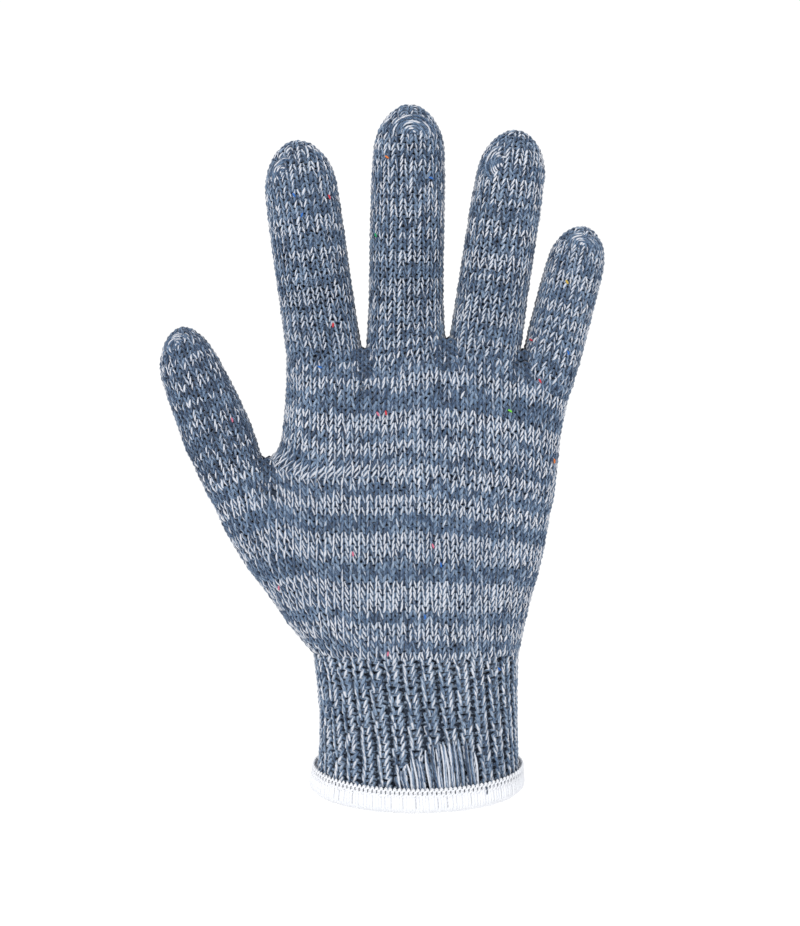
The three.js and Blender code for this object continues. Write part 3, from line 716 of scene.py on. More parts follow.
def mesh_piece(name, points, faces, maps, material, nodes):
    """A smooth mesh in metres from millimetre points, riding on the glove's body."""
    mesh = bpy.data.meshes.new(name)
    mesh.vertices.add(len(points))
    mesh.vertices.foreach_set("co", (points * MM).astype(np.float32).ravel())
    mesh.loops.add(faces.size)
    mesh.loops.foreach_set("vertex_index", faces.astype(np.int32).ravel())
    mesh.polygons.add(len(faces))
    starts = np.arange(len(faces), dtype=np.int32) * 4
    mesh.polygons.foreach_set("loop_start", starts)
    mesh.update(calc_edges=True)
    for title, corners in maps.items():
        layer = mesh.uv_layers.new(name=title)
        layer.data.foreach_set("uv", corners.astype(np.float32).ravel())
    mesh.shade_smooth()
    mesh.materials.append(material)
    piece = bpy.data.objects.new(name, mesh)
    bpy.context.scene.collection.objects.link(piece)
    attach(piece, BODY)
    if nodes:
        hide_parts(*nodes)
    return piece


def smooth_noise(rng, count, waves):
    """A closed wavy line of count values round 0, from a few seeded waves."""
    place = np.arange(count) / count * TURN
    line = np.zeros(count)
    for _ in range(waves):
        turns = rng.integers(1, 14)
        line += rng.normal() * np.sin(turns * place + rng.uniform(0, TURN))
    return line / math.sqrt(waves)


def stitch_edges(tube, v, wale):
    """Where the stitches of the course at v meet, in quarters round the section."""
    edges = []
    for quarter, length in enumerate(tube.quarters_at(v)):
        count = max(1, round(length / wale))
        place = np.arange(count) / count
        spare = length / wale - count
        anchored = np.arange(count) * wale / length
        settled = anchored + spare * wale / length * place ** 4
        if quarter % 2:
            settled = (1 - np.append(settled, 1)[::-1])[:-1]
        edges.append(quarter + settled)
    return np.concatenate(edges)


def stripe_tones(rng, count, mean):
    """A light or dark tone for each course, in stripes of a few courses."""
    tones = []
    light = rng.random() < 0.5
    while len(tones) < count:
        step = rng.uniform(0.12, 0.34)
        tones += [mean + (step if light else -step)] * int(rng.integers(1, 4))
        light = not light
    return tones[:count]


def charted_tones(stripes, count):
    """The tones of count courses from the bottom up, from a chart that starts at the top."""
    tones = [row["tone"] for row in stripes for _ in range(row["courses"])]
    return (tones + [0.6] * count)[:count][::-1]


def white_strokes(rng, tone, count, t, lean, dye):
    """How broad the white strand lies on each loop's two legs, from 0 to 1.

    lean is how much more of it the loops' first legs show than their second ones. The dye
    of each leg, about the given one, comes with it.
    """
    legs = tone + smooth_noise(rng, count, 5) * 0.13 + 0.24 * rng.normal(size=(2, count))
    legs = 0.2 + 0.8 * ease((legs + np.array([[lean], [-lean]]) - 0.2) / 0.65)
    stitch = np.repeat(np.arange(count), len(t) // count)
    second = (np.sin(t) < 0).astype(int)
    dyes = np.clip(dye + 0.9 * (rng.random((2, count)) - 0.5), 0, 1)
    return legs[second, stitch] * np.abs(np.sin(t)) ** 2.6, dyes[second, stitch]


def knit_shadow_sheet(name, tube, fabric):
    """A dark sheet of painted shadow under the knit, which shows as shade between the stitches."""
    rows = np.unique(np.linspace(0, len(tube.points) - 1, 36).round().astype(int))
    around = np.arange(0, tube.points.shape[1], 3)
    surface = tube.points[rows][:, around] - tube.normals[rows][:, around] * SHADOW_SHEET_INSET
    a, b = np.meshgrid(np.arange(len(rows) - 1), np.arange(len(around)), indexing="ij")
    beside = (b + 1) % len(around)
    width = len(around)
    faces = np.stack([a * width + b, a * width + beside, (a + 1) * width + beside,
                      (a + 1) * width + b], 2).reshape(-1, 4)
    corners = [np.stack([(b + i) / width, (a + j) / (len(rows) - 1)], 2).reshape(-1, 2)
               for i, j in ((0, 0), (1, 0), (1, 1), (0, 1))]
    spread = np.stack(corners, 1)
    metres = spread * [tube.quarters.sum(1).mean(), tube.length]
    return mesh_piece(name, surface.reshape(-1, 3), faces,
                      {"OFBake": spread, "Yarn": metres}, fabric, [])


def knit_tube(name, tube, knit, tones, yarn, slot):
    """Knits a tube course by course."""
    rng = np.random.default_rng(SEED + sum(map(ord, name)))
    courses = max(1, round(tube.length / knit["course"]))
    height = tube.length / courses
    bundle = Yarns()
    turns = np.array(LOOP_STEPS) * math.pi
    for course in range(courses):
        middle = (course + 0.5) * height
        edges = stitch_edges(tube, middle, knit["wale"])
        count = len(edges)
        extended = np.concatenate([edges[-2:] - 4, edges, edges[:3] + 4])
        t = np.tile(turns, count)
        stitch = np.repeat(np.arange(count), len(turns))
        rise = LOOP_REACH * np.cos(t)
        place = stitch + t / TURN + LOOP_SWING * np.sin(2 * t) + LOOP_SKEW * rise
        each = rng.normal(size=(3, count))
        place = place + 0.05 * each[0][stitch]
        q = np.interp(place, np.arange(-2, count + 3), extended)
        v = middle + height * (rise + 0.1 * each[1][stitch])
        surface, normals = tube.at(q, v)
        inset = LOOP_INSET + LOOP_DEPTH * np.cos(2 * t) + 0.06 * each[2][stitch]
        path = surface - normals * inset[:, None]
        tone = tones[min(course, len(tones) - 1)]
        white, dye = white_strokes(rng, tone, count, t, knit["lean"], knit["dye"])
        shift = STRAND_TURN * np.cos(t) * np.sign(np.sin(t)) + 0.04 * each[0][stitch]
        thin = knit["open"] * math.exp(-((middle / tube.length - 0.27) / 0.2) ** 2)
        radius = knit["yarn"] * (1 - thin) * (1 + 0.08 * smooth_noise(rng, len(t), 6))
        run = np.arange(len(t)) * (knit["wale"] * 1.9 / len(turns))
        bundle.lay(path, normals, radius, shift, white, closed=True, run=run, dye=dye)
    return bundle.piece(name, yarn, slot, [slot])


def knit_digit(index, yarn):
    """Knits a finger, or the thumb where index is past the last finger."""
    if index < len(FINGERS):
        digit, rows, base, line = FINGERS[index], FINGER_ROWS, FINGER_BASES[index], knuckle_line
        node = digit["name"] + "_finger"
    else:
        digit, rows, base, line = THUMB, THUMB_ROWS, THUMB_BASE, crotch_line
        node = "thumb"
    tube = Tube(digit_rows(digit, rows, base, line))
    match_solid(tube, node)
    knit = KNITS[digit["name"]]
    rng = np.random.default_rng(SEED + index)
    tones = stripe_tones(rng, 80, knit["tone"])
    # The dark sheet under the stitches is painted shadow.
    knit_shadow_sheet(node + "_shadow_sheet", tube, find_material("inner_face", inner_face))
    return knit_tube(node + "_knit", tube, knit, tones, yarn, node)


def match_solid(tube, node):
    """Raises an error where a tube's surface has left its solid."""
    low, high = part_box(node)
    ours = tube.points.reshape(-1, 3) * MM
    apart = max(np.abs(ours.min(0) - np.array(low)).max(), np.abs(ours.max(0) - np.array(high)).max())
    if apart > 2.5 * MM:
        raise ValueError(f"{node}: the knitted surface lies {apart / MM:.1f} mm off its solid")


def knit_cuff(yarn):
    """Knits the ribbed cuff: a raised knit column and a sunk groove for each rib."""
    rng = np.random.default_rng(SEED + 50)
    foot = HEM_HEIGHT * 0.55
    tube = Tube(cuff_rows(foot, CUFF_HEIGHT + 1))
    courses = round(tube.length / CUFF_COURSE)
    height = tube.length / courses
    bundle = Yarns()
    turns = np.append(np.array(LOOP_STEPS) * math.pi, TURN)
    groove = (1 - CUFF_KNIT_SHARE) / 2
    tones = charted_tones(CUFF_STRIPES, courses)
    for course in range(courses):
        middle = (course + 0.5) * height
        share = course / courses
        t = np.tile(turns, RIB_COUNT)
        sunk = np.tile(np.append(np.zeros(len(LOOP_STEPS)), 1), RIB_COUNT)
        rib = np.repeat(np.arange(RIB_COUNT), len(turns))
        rise = -CUFF_REACH * np.cos(t)
        swing = CUFF_SWING * np.sin(2 * t) + CUFF_SKEW * rise
        column = groove + CUFF_KNIT_SHARE * (t / TURN + swing)
        place = rib + np.where(sunk > 0, 1.0, column)
        from_crest = np.abs(2 * (place - rib) - 1)
        place = place + CUFF_DRIFT * (1 - share)
        deep = 0.5 + 0.5 * np.cos((place / RIB_COUNT - 0.1) * TURN)
        ribs = 0.3 + 0.7 * follow(CUFF_ROWS, share, "ribs")
        inset = 0.75 + mix(0.6, 1.5, deep) * ribs * from_crest ** 2.2
        inset = inset + 0.42 * (1 + np.cos(2 * t)) * (1 - sunk)
        each = rng.normal(size=(2, RIB_COUNT))
        wander = mix(0.09, 0.03, deep) * each[1][rib] * (1 - sunk)
        q = (place + wander) / RIB_COUNT * 4
        v = middle + height * (rise + 0.1 * each[0][rib])
        surface, normals = tube.at(q, v)
        path = surface - normals * inset[:, None]
        white, dye = white_strokes(rng, tones[course], RIB_COUNT, t, 0.0, CUFF_DYE)
        white = white * (1 - sunk)
        shift = 0.05 * each[1][rib] - 1.6 * STRAND_TURN * np.cos(t)
        radius = CUFF_YARN * (1 - 0.3 * sunk) * (1 + 0.06 * smooth_noise(rng, len(t), 6))
        run = np.arange(len(t)) * 1.1
        bundle.lay(path, normals, radius, shift, white, closed=True, run=run, dye=dye)
    # The dark sheet under the ribs is painted shadow.
    knit_shadow_sheet("rib_cuff_shadow_sheet", tube, find_material("inner_face", inner_face))
    return bundle.piece("rib_cuff_knit", yarn, "rib_cuff", ["rib_cuff"])


HEM_WRAPS = 180
HEM_THREAD = 0.56
HEM_SCALLOPS = 120
HEM_SCALLOP_THREAD = 0.36
HEM_CORE_LEVELS = (1.2, 2.5, 3.8, 5.1)


def hem_section(place):
    """The outline of the hem, out and up, from its outer upper edge (0) to its inner (1)."""
    outside = JOIN_GAP + HEM_THICKNESS
    inside = WALL + 1.5 + HEM_THICKNESS
    rows = [
        {"at": 0, "out": outside * 0.7, "up": HEM_HEIGHT * 0.86},
        {"at": 0.22, "out": outside, "up": HEM_HEIGHT * 0.55},
        {"at": 0.4, "out": outside, "up": HEM_HEIGHT * 0.18},
        {"at": 0.5, "out": 0, "up": 0},
        {"at": 0.6, "out": -inside * 0.8, "up": HEM_HEIGHT * 0.08},
        {"at": 0.78, "out": -inside, "up": HEM_HEIGHT * 0.5},
        {"at": 1, "out": -inside + 0.4, "up": HEM_HEIGHT * 0.92},
    ]
    return follow(rows, place, "out"), follow(rows, place, "up")


def hem_points(angle, out, up):
    """Points of the hem and its outward normals."""
    surface = cuff_points(angle, opening_at(angle) + up)
    beside = cuff_points(angle + 0.01, opening_at(angle + 0.01) + up)
    run = beside - surface
    normals = np.stack([run[:, 1], -run[:, 0], np.zeros(len(run))], 1)
    normals /= np.linalg.norm(normals, axis=1, keepdims=True)
    return surface + normals * out[:, None], normals


def sew_hem(thread):
    """Wraps the white overlock threads round the wrist opening's edge."""
    rng = np.random.default_rng(SEED + 60)
    fine = np.linspace(0, 1, 721)[:-1] * TURN
    ring = cuff_points(fine, opening_at(fine))
    steps = np.linalg.norm(np.roll(ring, -1, 0) - ring, axis=1)
    travelled = np.concatenate([[0], np.cumsum(steps)])
    turns = np.append(fine, TURN)
    even = np.interp(np.arange(HEM_WRAPS) / HEM_WRAPS * travelled[-1], travelled, turns)
    bundle = Yarns()
    place = np.linspace(0, 1, 15)
    slant = TURN / HEM_WRAPS
    for start in even:
        angle = start + slant * (0.9 * place + 0.1 * rng.normal())
        out, up = hem_section(place)
        path, normals = hem_points(angle, out - HEM_THREAD * 0.6, up + HEM_THREAD * 0.4)
        section_up = normals.copy()
        section_up[:, 2] += np.where(place > 0.4, -0.6, 0.2)
        radius = HEM_THREAD * (1.12 + 0.08 * rng.normal()) * np.ones(len(place))
        radius[[0, -1]] = 0.1
        bundle.lay(path, section_up, radius, 0.1 * rng.normal(), 0.5)
    for level in HEM_CORE_LEVELS:
        out = np.full(360, HEM_THICKNESS + JOIN_GAP - 1.15)
        path, normals = hem_points(fine[::2], out, np.full(360, float(level)))
        bundle.lay(path, normals, np.full(360, 1.0), 0.0, 0.5, closed=True)
    for row in range(2):
        t = np.arange(HEM_SCALLOPS * 8) / (HEM_SCALLOPS * 8)
        angle = np.interp(t * travelled[-1], travelled, turns)
        swing = t * HEM_SCALLOPS * TURN + row * math.pi
        angle = angle + 0.35 * TURN / HEM_SCALLOPS * np.sin(2 * swing)
        out = HEM_THICKNESS * 0.75 + JOIN_GAP + 0.12 * np.cos(swing)
        up = HEM_HEIGHT + 0.1 - 1.5 * row + 0.9 * np.sin(swing)
        path, normals = hem_points(angle, out, up)
        radius = np.full(len(t), HEM_SCALLOP_THREAD)
        bundle.lay(path, normals, radius, 0.0, 0.6, closed=True)
    return bundle.piece("hem_overlock", thread, "hem_band", ["hem_band"])


FLOAT_ROWS = [
    {"at": 0, "top": 6},
    {"at": 0.3, "top": 13},
    {"at": 0.6, "top": 17.5},
    {"at": 0.85, "top": 18.5},
    {"at": 1, "top": 15},
]
FLOAT_LEFT, FLOAT_RIGHT = -6.5, 21
FLOAT_COUNT = 15
FLOAT_YARN = 0.72


def wrist_front(x):
    """The angle round the wrist of a place x on its front."""
    return -math.acos(max(-1, min(1, x / HALF_WRIST)))


def lay_floats(blue, pale):
    """Lays the long loose strands that run down the cuff's front to the hem."""
    rng = np.random.default_rng(SEED + 70)
    bundles = {"cuff_floats": Yarns(), "cuff_floats_pale": Yarns()}
    for i in range(FLOAT_COUNT * 2):
        place = (i % FLOAT_COUNT + (0.5 if i < FLOAT_COUNT else 1)) / FLOAT_COUNT
        white = i >= FLOAT_COUNT
        angle = wrist_front(mix(FLOAT_LEFT, FLOAT_RIGHT, place)) + 0.008 * rng.normal()
        foot = opening_at(angle) + HEM_HEIGHT - 0.8
        top = float(follow(FLOAT_ROWS, place, "top")) + 0.8 * rng.normal()
        if white and rng.random() < 0.25:
            continue
        share = np.linspace(0, 1, 14)
        turns = angle - 0.055 * share + 0.006 * np.sin(6 * share + i)
        path = cuff_points(turns, mix(foot, max(top, foot + 5), share))
        normals = np.stack([np.cos(turns), 1.4 * np.sin(turns), np.zeros(len(turns))], 1)
        normals /= np.linalg.norm(normals, axis=1, keepdims=True)
        path = path - normals * (0.15 if white else 0.35)
        thin = 0.55 if white else 1
        radius = FLOAT_YARN * thin * (1 - 0.6 * (2 * share - 1) ** 6)
        name = "cuff_floats_pale" if white else "cuff_floats"
        bundles[name].lay(path, normals, radius, 0.08 * rng.normal(), 0.45,
                          dye=rng.uniform(0.45, 1))
    angle = wrist_front(23.1)
    tick, normals = hem_points(np.full(6, angle), np.full(6, HEM_THICKNESS + JOIN_GAP),
                               np.linspace(HEM_HEIGHT - 0.4, HEM_HEIGHT - 3, 6))
    bundles["cuff_floats"].lay(tick, normals, np.full(6, 0.3), 0.3, 0.0, dye=0.3)
    bundles["cuff_floats"].piece("cuff_floats", blue, "rib_cuff", [])
    bundles["cuff_floats_pale"].piece("cuff_floats_pale", pale, "rib_cuff", [])


def front_tree():
    """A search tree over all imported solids."""
    points, faces = [], []
    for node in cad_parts.values():
        start = len(points)
        points += [v.co.copy() for v in node.data.vertices]
        faces += [[start + i for i in p.vertices] for p in node.data.polygons]
    return BVHTree.FromPolygons(points, faces)


def camera_place():
    """The camera's place and the point at which it looks."""
    middle = Vector(((IMAGE_SIZE[0] / 2 - ORIGIN_PIXEL[0]) * PIXEL, 0,
                     (ORIGIN_PIXEL[1] - IMAGE_SIZE[1] / 2) * PIXEL)) * MM
    rise = math.radians(CAMERA_ELEVATION)
    back = Vector((0, -math.cos(rise), math.sin(rise)))
    return middle + back * CAMERA_DISTANCE * MM, middle


def on_front(tree, pixel):
    """The point of the solids' front that a pixel of the photograph shows, and its normal."""
    eye, middle = camera_place()
    away = (middle - eye).normalized()
    right = Vector((1, 0, 0))
    up = right.cross(away)
    aim = middle + right * (pixel[0] - IMAGE_SIZE[0] / 2) * PIXEL * MM \
        + up * (IMAGE_SIZE[1] / 2 - pixel[1]) * PIXEL * MM
    place, normal, _, _ = tree.ray_cast(eye, (aim - eye).normalized())
    if place is None:
        raise ValueError(f"pixel {pixel} doesn't meet the glove")
    return np.array(place) / MM, np.array(normal)


# The swirl of yarn at each tip. turn is where its arcs bulge: 0 is up, 90 is to the left.
TIP_KNOTS = [
    {"pixel": (283, 172), "node": "index_finger", "wide": 4.6, "turn": 70},
    {"pixel": (413, 134), "node": "middle_finger", "wide": 6.6, "turn": -8},
    {"pixel": (503, 164), "node": "ring_finger", "wide": 5.8, "turn": 75},
    {"pixel": (584, 246), "node": "little_finger", "wide": 5, "turn": -12},
    {"pixel": (177, 346), "node": "thumb", "wide": 4.4, "turn": 45},
]
TIP_ARCS = 7
TIP_YARN = 0.62


def close_tips(yarn):
    """Gathers the yarn's end in arcs where each fingertip is drawn together."""
    tree = front_tree()
    rng = np.random.default_rng(SEED + 80)
    for knot in TIP_KNOTS:
        place, normal = on_front(tree, knot["pixel"])
        side = np.cross(normal, [0, 0, 1])
        side /= -np.linalg.norm(side)
        up = np.cross(normal, side)
        turn = math.radians(knot["turn"])
        side, up = (math.cos(turn) * side + math.sin(turn) * up,
                    math.cos(turn) * up - math.sin(turn) * side)
        bundle = Yarns()
        for arc in range(TIP_ARCS):
            s = np.linspace(-1, 1, 18)
            reach = knot["wide"] * mix(0.15, 1.15, arc / (TIP_ARCS - 1))
            bow = rng.uniform(1.1, 1.8) * s + 0.3 * rng.normal()
            bend = 0.25 * rng.normal() * np.sin(3 * s + rng.uniform(0, TURN))
            across = reach * np.sin(bow)
            rise = 0.9 * reach * np.cos(bow) + bend
            from_middle = across ** 2 + rise ** 2
            depth = 0.042 * from_middle + 0.08 + 0.9 * s ** 4
            path = place + across[:, None] * side + rise[:, None] * up - depth[:, None] * normal
            radius = TIP_YARN * (1 - 0.25 * s ** 4)
            white = np.clip(1.3 * np.sin(4.5 * s + rng.uniform(0, TURN)) * (1 - s ** 4), 0, 1)
            bundle.lay(path, np.tile(normal, (len(s), 1)), radius, 0.05 * rng.normal(), white,
                       dye=rng.uniform(0.2, 0.8))
        bundle.piece(knot["node"] + "_tip", yarn, knot["node"], [])


CROTCH_PATCHES = [
    {"crotch": 1, "above": 3, "rows": 5, "stitches": 3, "sag": 1.2},
    {"crotch": 2, "above": 3, "rows": 5, "stitches": 3, "sag": 1.2},
    {"crotch": 3, "above": 3, "rows": 5, "stitches": 3, "sag": 1.2},
    {"crotch": 0, "above": -0.6, "rows": 7, "stitches": 3, "sag": 1.6},
]


def surface_depth(tree, x, z, side):
    """The y, in millimetres, of the solids' outermost surface in front (-1) or behind (1)."""
    start = Vector((x, side * 200, z)) * MM
    place, _, _, _ = tree.ray_cast(start, Vector((0, -side, 0)))
    return None if place is None else place.y / MM


def darn_crotches(yarn):
    """Knits the few stitches that close the fabric between two fingers and at the thumb."""
    tree = front_tree()
    rng = np.random.default_rng(SEED + 90)
    turns = np.array(LOOP_STEPS) * math.pi
    wale, height = 2.7, 1.9
    bundle = Yarns()
    for patch in CROTCH_PATCHES:
        if patch["crotch"]:
            middle = CROTCHES[patch["crotch"]]
            x0, z0 = middle["at"], middle["z"]
        else:
            x0, z0 = THUMB_CROTCH_X, THUMB_CROTCH_Z
        half = patch["stitches"] / 2 * wale
        for side in (-1, 1):
            for row in range(patch["rows"]):
                z = z0 + patch["above"] - row * height
                ends = [surface_depth(tree, x0 + end * half, z, side) for end in (-1, 1)]
                if None in ends:
                    continue
                t = np.tile(turns, patch["stitches"])
                stitch = np.repeat(np.arange(patch["stitches"]), len(turns))
                rise = LOOP_REACH * np.cos(t)
                place = (stitch + t / TURN + LOOP_SWING * np.sin(2 * t)) / patch["stitches"]
                across = 2 * place - 1
                level = mix(ends[0], ends[1], place)
                sag = patch["sag"] * (1 - across ** 2) * (1 - 0.12 * row)
                inset = 0.9 + sag + LOOP_DEPTH * np.cos(2 * t)
                path = np.stack([x0 + half * across, level - side * inset, z + height * rise], 1)
                normals = np.tile([0.0, side, 0.0], (len(t), 1))
                normals[:, 0] = 0.2 * across
                # Little white and a dark dye: painted shade for the pits between the fingers and at
                # the thumb.
                white, dye = white_strokes(rng, 0.22, patch["stitches"], t, 0.05, 0.12)
                radius = np.full(len(t), 0.64)
                radius[[0, -1]] = 0.35
                bundle.lay(path, normals, radius, 0.0, white, dye=dye)
    return bundle.piece("crotch_stitches", yarn, "upper_palm", [])


def scatter_flecks(materials):
    """Catches a few coloured fibres in the yarn."""
    tree = front_tree()
    made = []
    for colour, material in materials.items():
        bundle = Yarns()
        for fleck in FLECKS:
            if fleck["colour"] != colour:
                continue
            place, normal = on_front(tree, fleck["pixel"])
            side = np.cross(normal, [0, 0, 1])
            side /= np.linalg.norm(side)
            up = np.cross(side, normal)
            turn = math.radians(fleck["turn"])
            run = math.cos(turn) * side + math.sin(turn) * up
            t = np.linspace(-1, 1, 8)
            path = place + 0.9 * t[:, None] * run + normal * (0.25 - 0.25 * t[:, None] ** 2)
            radius = np.array([0.05, 0.25, 0.34, 0.36, 0.36, 0.34, 0.25, 0.05])
            bundle.lay(path, np.tile(normal, (len(t), 1)), radius, 0.0, 0.5)
        made.append(bundle.piece(f"fleck_{colour}", material, "upper_palm", []))
    return made


class NodeGraph:
    """Short words for building a material's nodes."""

    def __init__(self, name):
        self.material = bpy.data.materials.new(name)
        self.material.use_nodes = True
        self.tree = self.material.node_tree
        self.shader = self.tree.nodes["Principled BSDF"]

    def node(self, kind, inputs=None, **settings):
        made = self.tree.nodes.new(kind)
        for name, value in settings.items():
            setattr(made, name, value)
        for name, value in (inputs or {}).items():
            self.give(made.inputs[name], value)
        return made

    def give(self, socket, value):
        if isinstance(value, bpy.types.NodeSocket):
            self.tree.links.new(value, socket)
        else:
            socket.default_value = value

    def math(self, operation, *values):
        made = self.node("ShaderNodeMath", operation=operation)
        for socket, value in zip(made.inputs, values):
            self.give(socket, value)
        return made.outputs[0]

    def between(self, value, low, high, to_low=0.0, to_high=1.0):
        made = self.node("ShaderNodeMapRange", {"Value": value, "From Min": low,
                                                "From Max": high, "To Min": to_low,
                                                "To Max": to_high},
                         interpolation_type="SMOOTHSTEP")
        return made.outputs["Result"]

    def blend(self, share, first, second):
        made = self.node("ShaderNodeMix", data_type="RGBA")
        self.give(made.inputs[0], share)
        self.give(made.inputs[6], first)
        self.give(made.inputs[7], second)
        return made.outputs[2]

    def noise(self, vector, scale, detail=2.0, roughness=0.6):
        made = self.node("ShaderNodeTexNoise", {"Vector": vector, "Scale": scale,
                                                "Detail": detail, "Roughness": roughness})
        return made.outputs["Fac"]

    def uv(self, name):
        made = self.node("ShaderNodeUVMap", uv_map=name)
        parts = self.node("ShaderNodeSeparateXYZ", {"Vector": made.outputs["UV"]})
        return parts.outputs["X"], parts.outputs["Y"]

    def vector(self, x, y, z):
        made = self.node("ShaderNodeCombineXYZ", {"X": x, "Y": y, "Z": z})
        return made.outputs["Vector"]

    def finish(self, colour, height, relief, roughness, sheen):
        bump = self.node("ShaderNodeBump", {"Height": height, "Strength": 1.0,
                                            "Distance": relief})
        self.give(self.shader.inputs["Base Color"], colour)
        self.give(self.shader.inputs["Normal"], bump.outputs["Normal"])
        self.shader.inputs["Roughness"].default_value = roughness
        self.shader.inputs["Sheen Weight"].default_value = sheen
        self.shader.inputs["Sheen Roughness"].default_value = 0.5
        self.shader.inputs["Specular IOR Level"].default_value = 0.15
        return self.material


def marled_yarn(name, colours):
    """Cotton yarn of slate, navy and pale plies with one white strand."""
    graph = NodeGraph(name)
    around, along = graph.uv("Yarn")
    tone, each = graph.uv("Tone")
    twisted = graph.math("MULTIPLY_ADD", along, 0.12, around)
    place = graph.vector(graph.math("MULTIPLY", twisted, 7.0),
                         graph.math("MULTIPLY", along, 0.35),
                         graph.math("MULTIPLY", each, 31.0))
    fibres = graph.noise(place, 1.6, 3.0, 0.75)
    cross = graph.vector(graph.math("MULTIPLY", around, 1.2),
                         graph.math("MULTIPLY", along, 0.45),
                         graph.math("MULTIPLY", each, 17.0))
    clouds = graph.noise(cross, 1.1, 3.0, 0.6)
    dyed = graph.math("MULTIPLY_ADD", each, 0.2, -0.11)
    paler = graph.math("ADD", graph.math("MULTIPLY_ADD", tone, 0.04, fibres), dyed)
    ramp = graph.node("ShaderNodeValToRGB", {"Fac": paler})
    stops = ramp.color_ramp
    stops.elements[0].position, stops.elements[1].position = 0.38, 0.68
    stops.elements[0].color = (*colours.navy, 1)
    stops.elements[1].color = (*colours.pale, 1)
    for position, colour in ((0.48, colours.slate), (0.57, colours.sky)):
        stops.elements.new(position).color = (*colour, 1)
    wobble = graph.math("MULTIPLY", graph.math("SUBTRACT", clouds, 0.5), 0.22)
    apart = graph.math("PINGPONG", graph.math("ADD", around, wobble), 0.5)
    # Painted shade: the yarn's sides, where neighbouring stitches would shade them, turn to the
    # shadow colour.
    sides = graph.between(apart, 0.1, 0.24, 0.0, 0.75)
    plies_and_painted_shade = graph.blend(sides, ramp.outputs["Color"], (*colours.shadow, 1))
    width = graph.math("MULTIPLY_ADD", tone, 0.1, -0.005)
    white = graph.between(graph.math("SUBTRACT", width, apart), -0.014, 0.024)
    torn = graph.between(fibres, 0.28, 0.46, 0.35, 1.0)
    strength = graph.between(tone, 0.05, 0.6, 0.25, 1.0)
    shown = graph.math("MULTIPLY", graph.math("MULTIPLY", white, torn), strength)
    mixed = graph.blend(shown, plies_and_painted_shade, (*colours.white, 1))
    where = graph.node("ShaderNodeTexCoord").outputs["Object"]
    worn = graph.between(graph.noise(where, 38.0, 3.0), 0.3, 0.7, 0.0, 0.2)
    shaded = graph.blend(worn, mixed, (*colours.slate, 1))
    plies = graph.math("SINE", graph.math("MULTIPLY", TURN, graph.math(
        "MULTIPLY", twisted, 3.0)))
    height = graph.math("MULTIPLY_ADD", plies, 0.3, graph.math("MULTIPLY", fibres, 1.3))
    return graph.finish(shaded, height, 0.00022, 0.92, 0.2)


def inner_face(name):
    """A near-black sheet of painted shadow under the knit, with a faint row of purl bumps."""
    graph = NodeGraph(name)
    around, along = graph.uv("Yarn")
    rows = graph.math("SINE", graph.math("MULTIPLY", along, TURN / 2.0))
    columns = graph.math("SINE", graph.math("MULTIPLY", around, TURN / 3.0))
    bumps = graph.math("MULTIPLY", rows, columns)
    where = graph.node("ShaderNodeTexCoord").outputs["Object"]
    mottled = graph.noise(where, 900.0, 3.0)
    # Near-black painted shadow colours, mottled a little.
    colour = graph.blend(graph.between(mottled, 0.35, 0.65), (0.008, 0.012, 0.02, 1),
                         (0.03, 0.042, 0.065, 1))
    height = graph.math("MULTIPLY_ADD", bumps, 0.5, mottled)
    return graph.finish(colour, height, 0.0003, 0.95, 0.0)


def pale_strand(name, colours):
    """The yarn's white ply where it lies alone on the fabric."""
    return thread(name, colours.white, colours.pale, 0.45)


def white_thread(name, colours):
    """Bleached cotton thread of the overlocked hem."""
    return thread(name, colours.hem, colours.hem_shade, 0.1)


def thread(name, light, shade, greying):
    """A plain two-ply thread, greyer along some of its fibres."""
    graph = NodeGraph(name)
    around, along = graph.uv("Yarn")
    place = graph.vector(graph.math("MULTIPLY", around, 4.0),
                         graph.math("MULTIPLY", along, 0.8), 0.0)
    fibres = graph.noise(place, 1.5, 3.0)
    where = graph.node("ShaderNodeTexCoord").outputs["Object"]
    grey = graph.between(graph.noise(where, 90.0, 2.0), 0.35, 0.75, 0.0, 0.12)
    tint = graph.math("MULTIPLY", graph.between(fibres, 0.3, 0.7), greying)
    colour = graph.blend(graph.math("ADD", grey, tint), (*light, 1), (*shade, 1))
    plies = graph.math("SINE", graph.math("MULTIPLY", TURN, graph.math(
        "ADD", graph.math("MULTIPLY", around, 2.0), graph.math("MULTIPLY", along, 0.9))))
    height = graph.math("MULTIPLY_ADD", plies, 0.25, fibres)
    return graph.finish(colour, height, 0.00012, 0.85, 0.15)


def dyed_fibre(name, colour):
    """A coloured fibre with a slightly uneven dye."""
    graph = NodeGraph(name)
    around, along = graph.uv("Yarn")
    fibres = graph.noise(graph.vector(around, along, 0.0), 3.0, 3.0)
    deep = tuple(0.6 * channel for channel in colour)
    shade = graph.blend(graph.between(fibres, 0.35, 0.65), (*deep, 1), (*colour, 1))
    return graph.finish(shade, fibres, 0.00008, 0.9, 0.2)


def find_material(name, make, *arguments):
    """A material by name, made the first time it is asked for."""
    return bpy.data.materials.get(name) or make(name, *arguments)


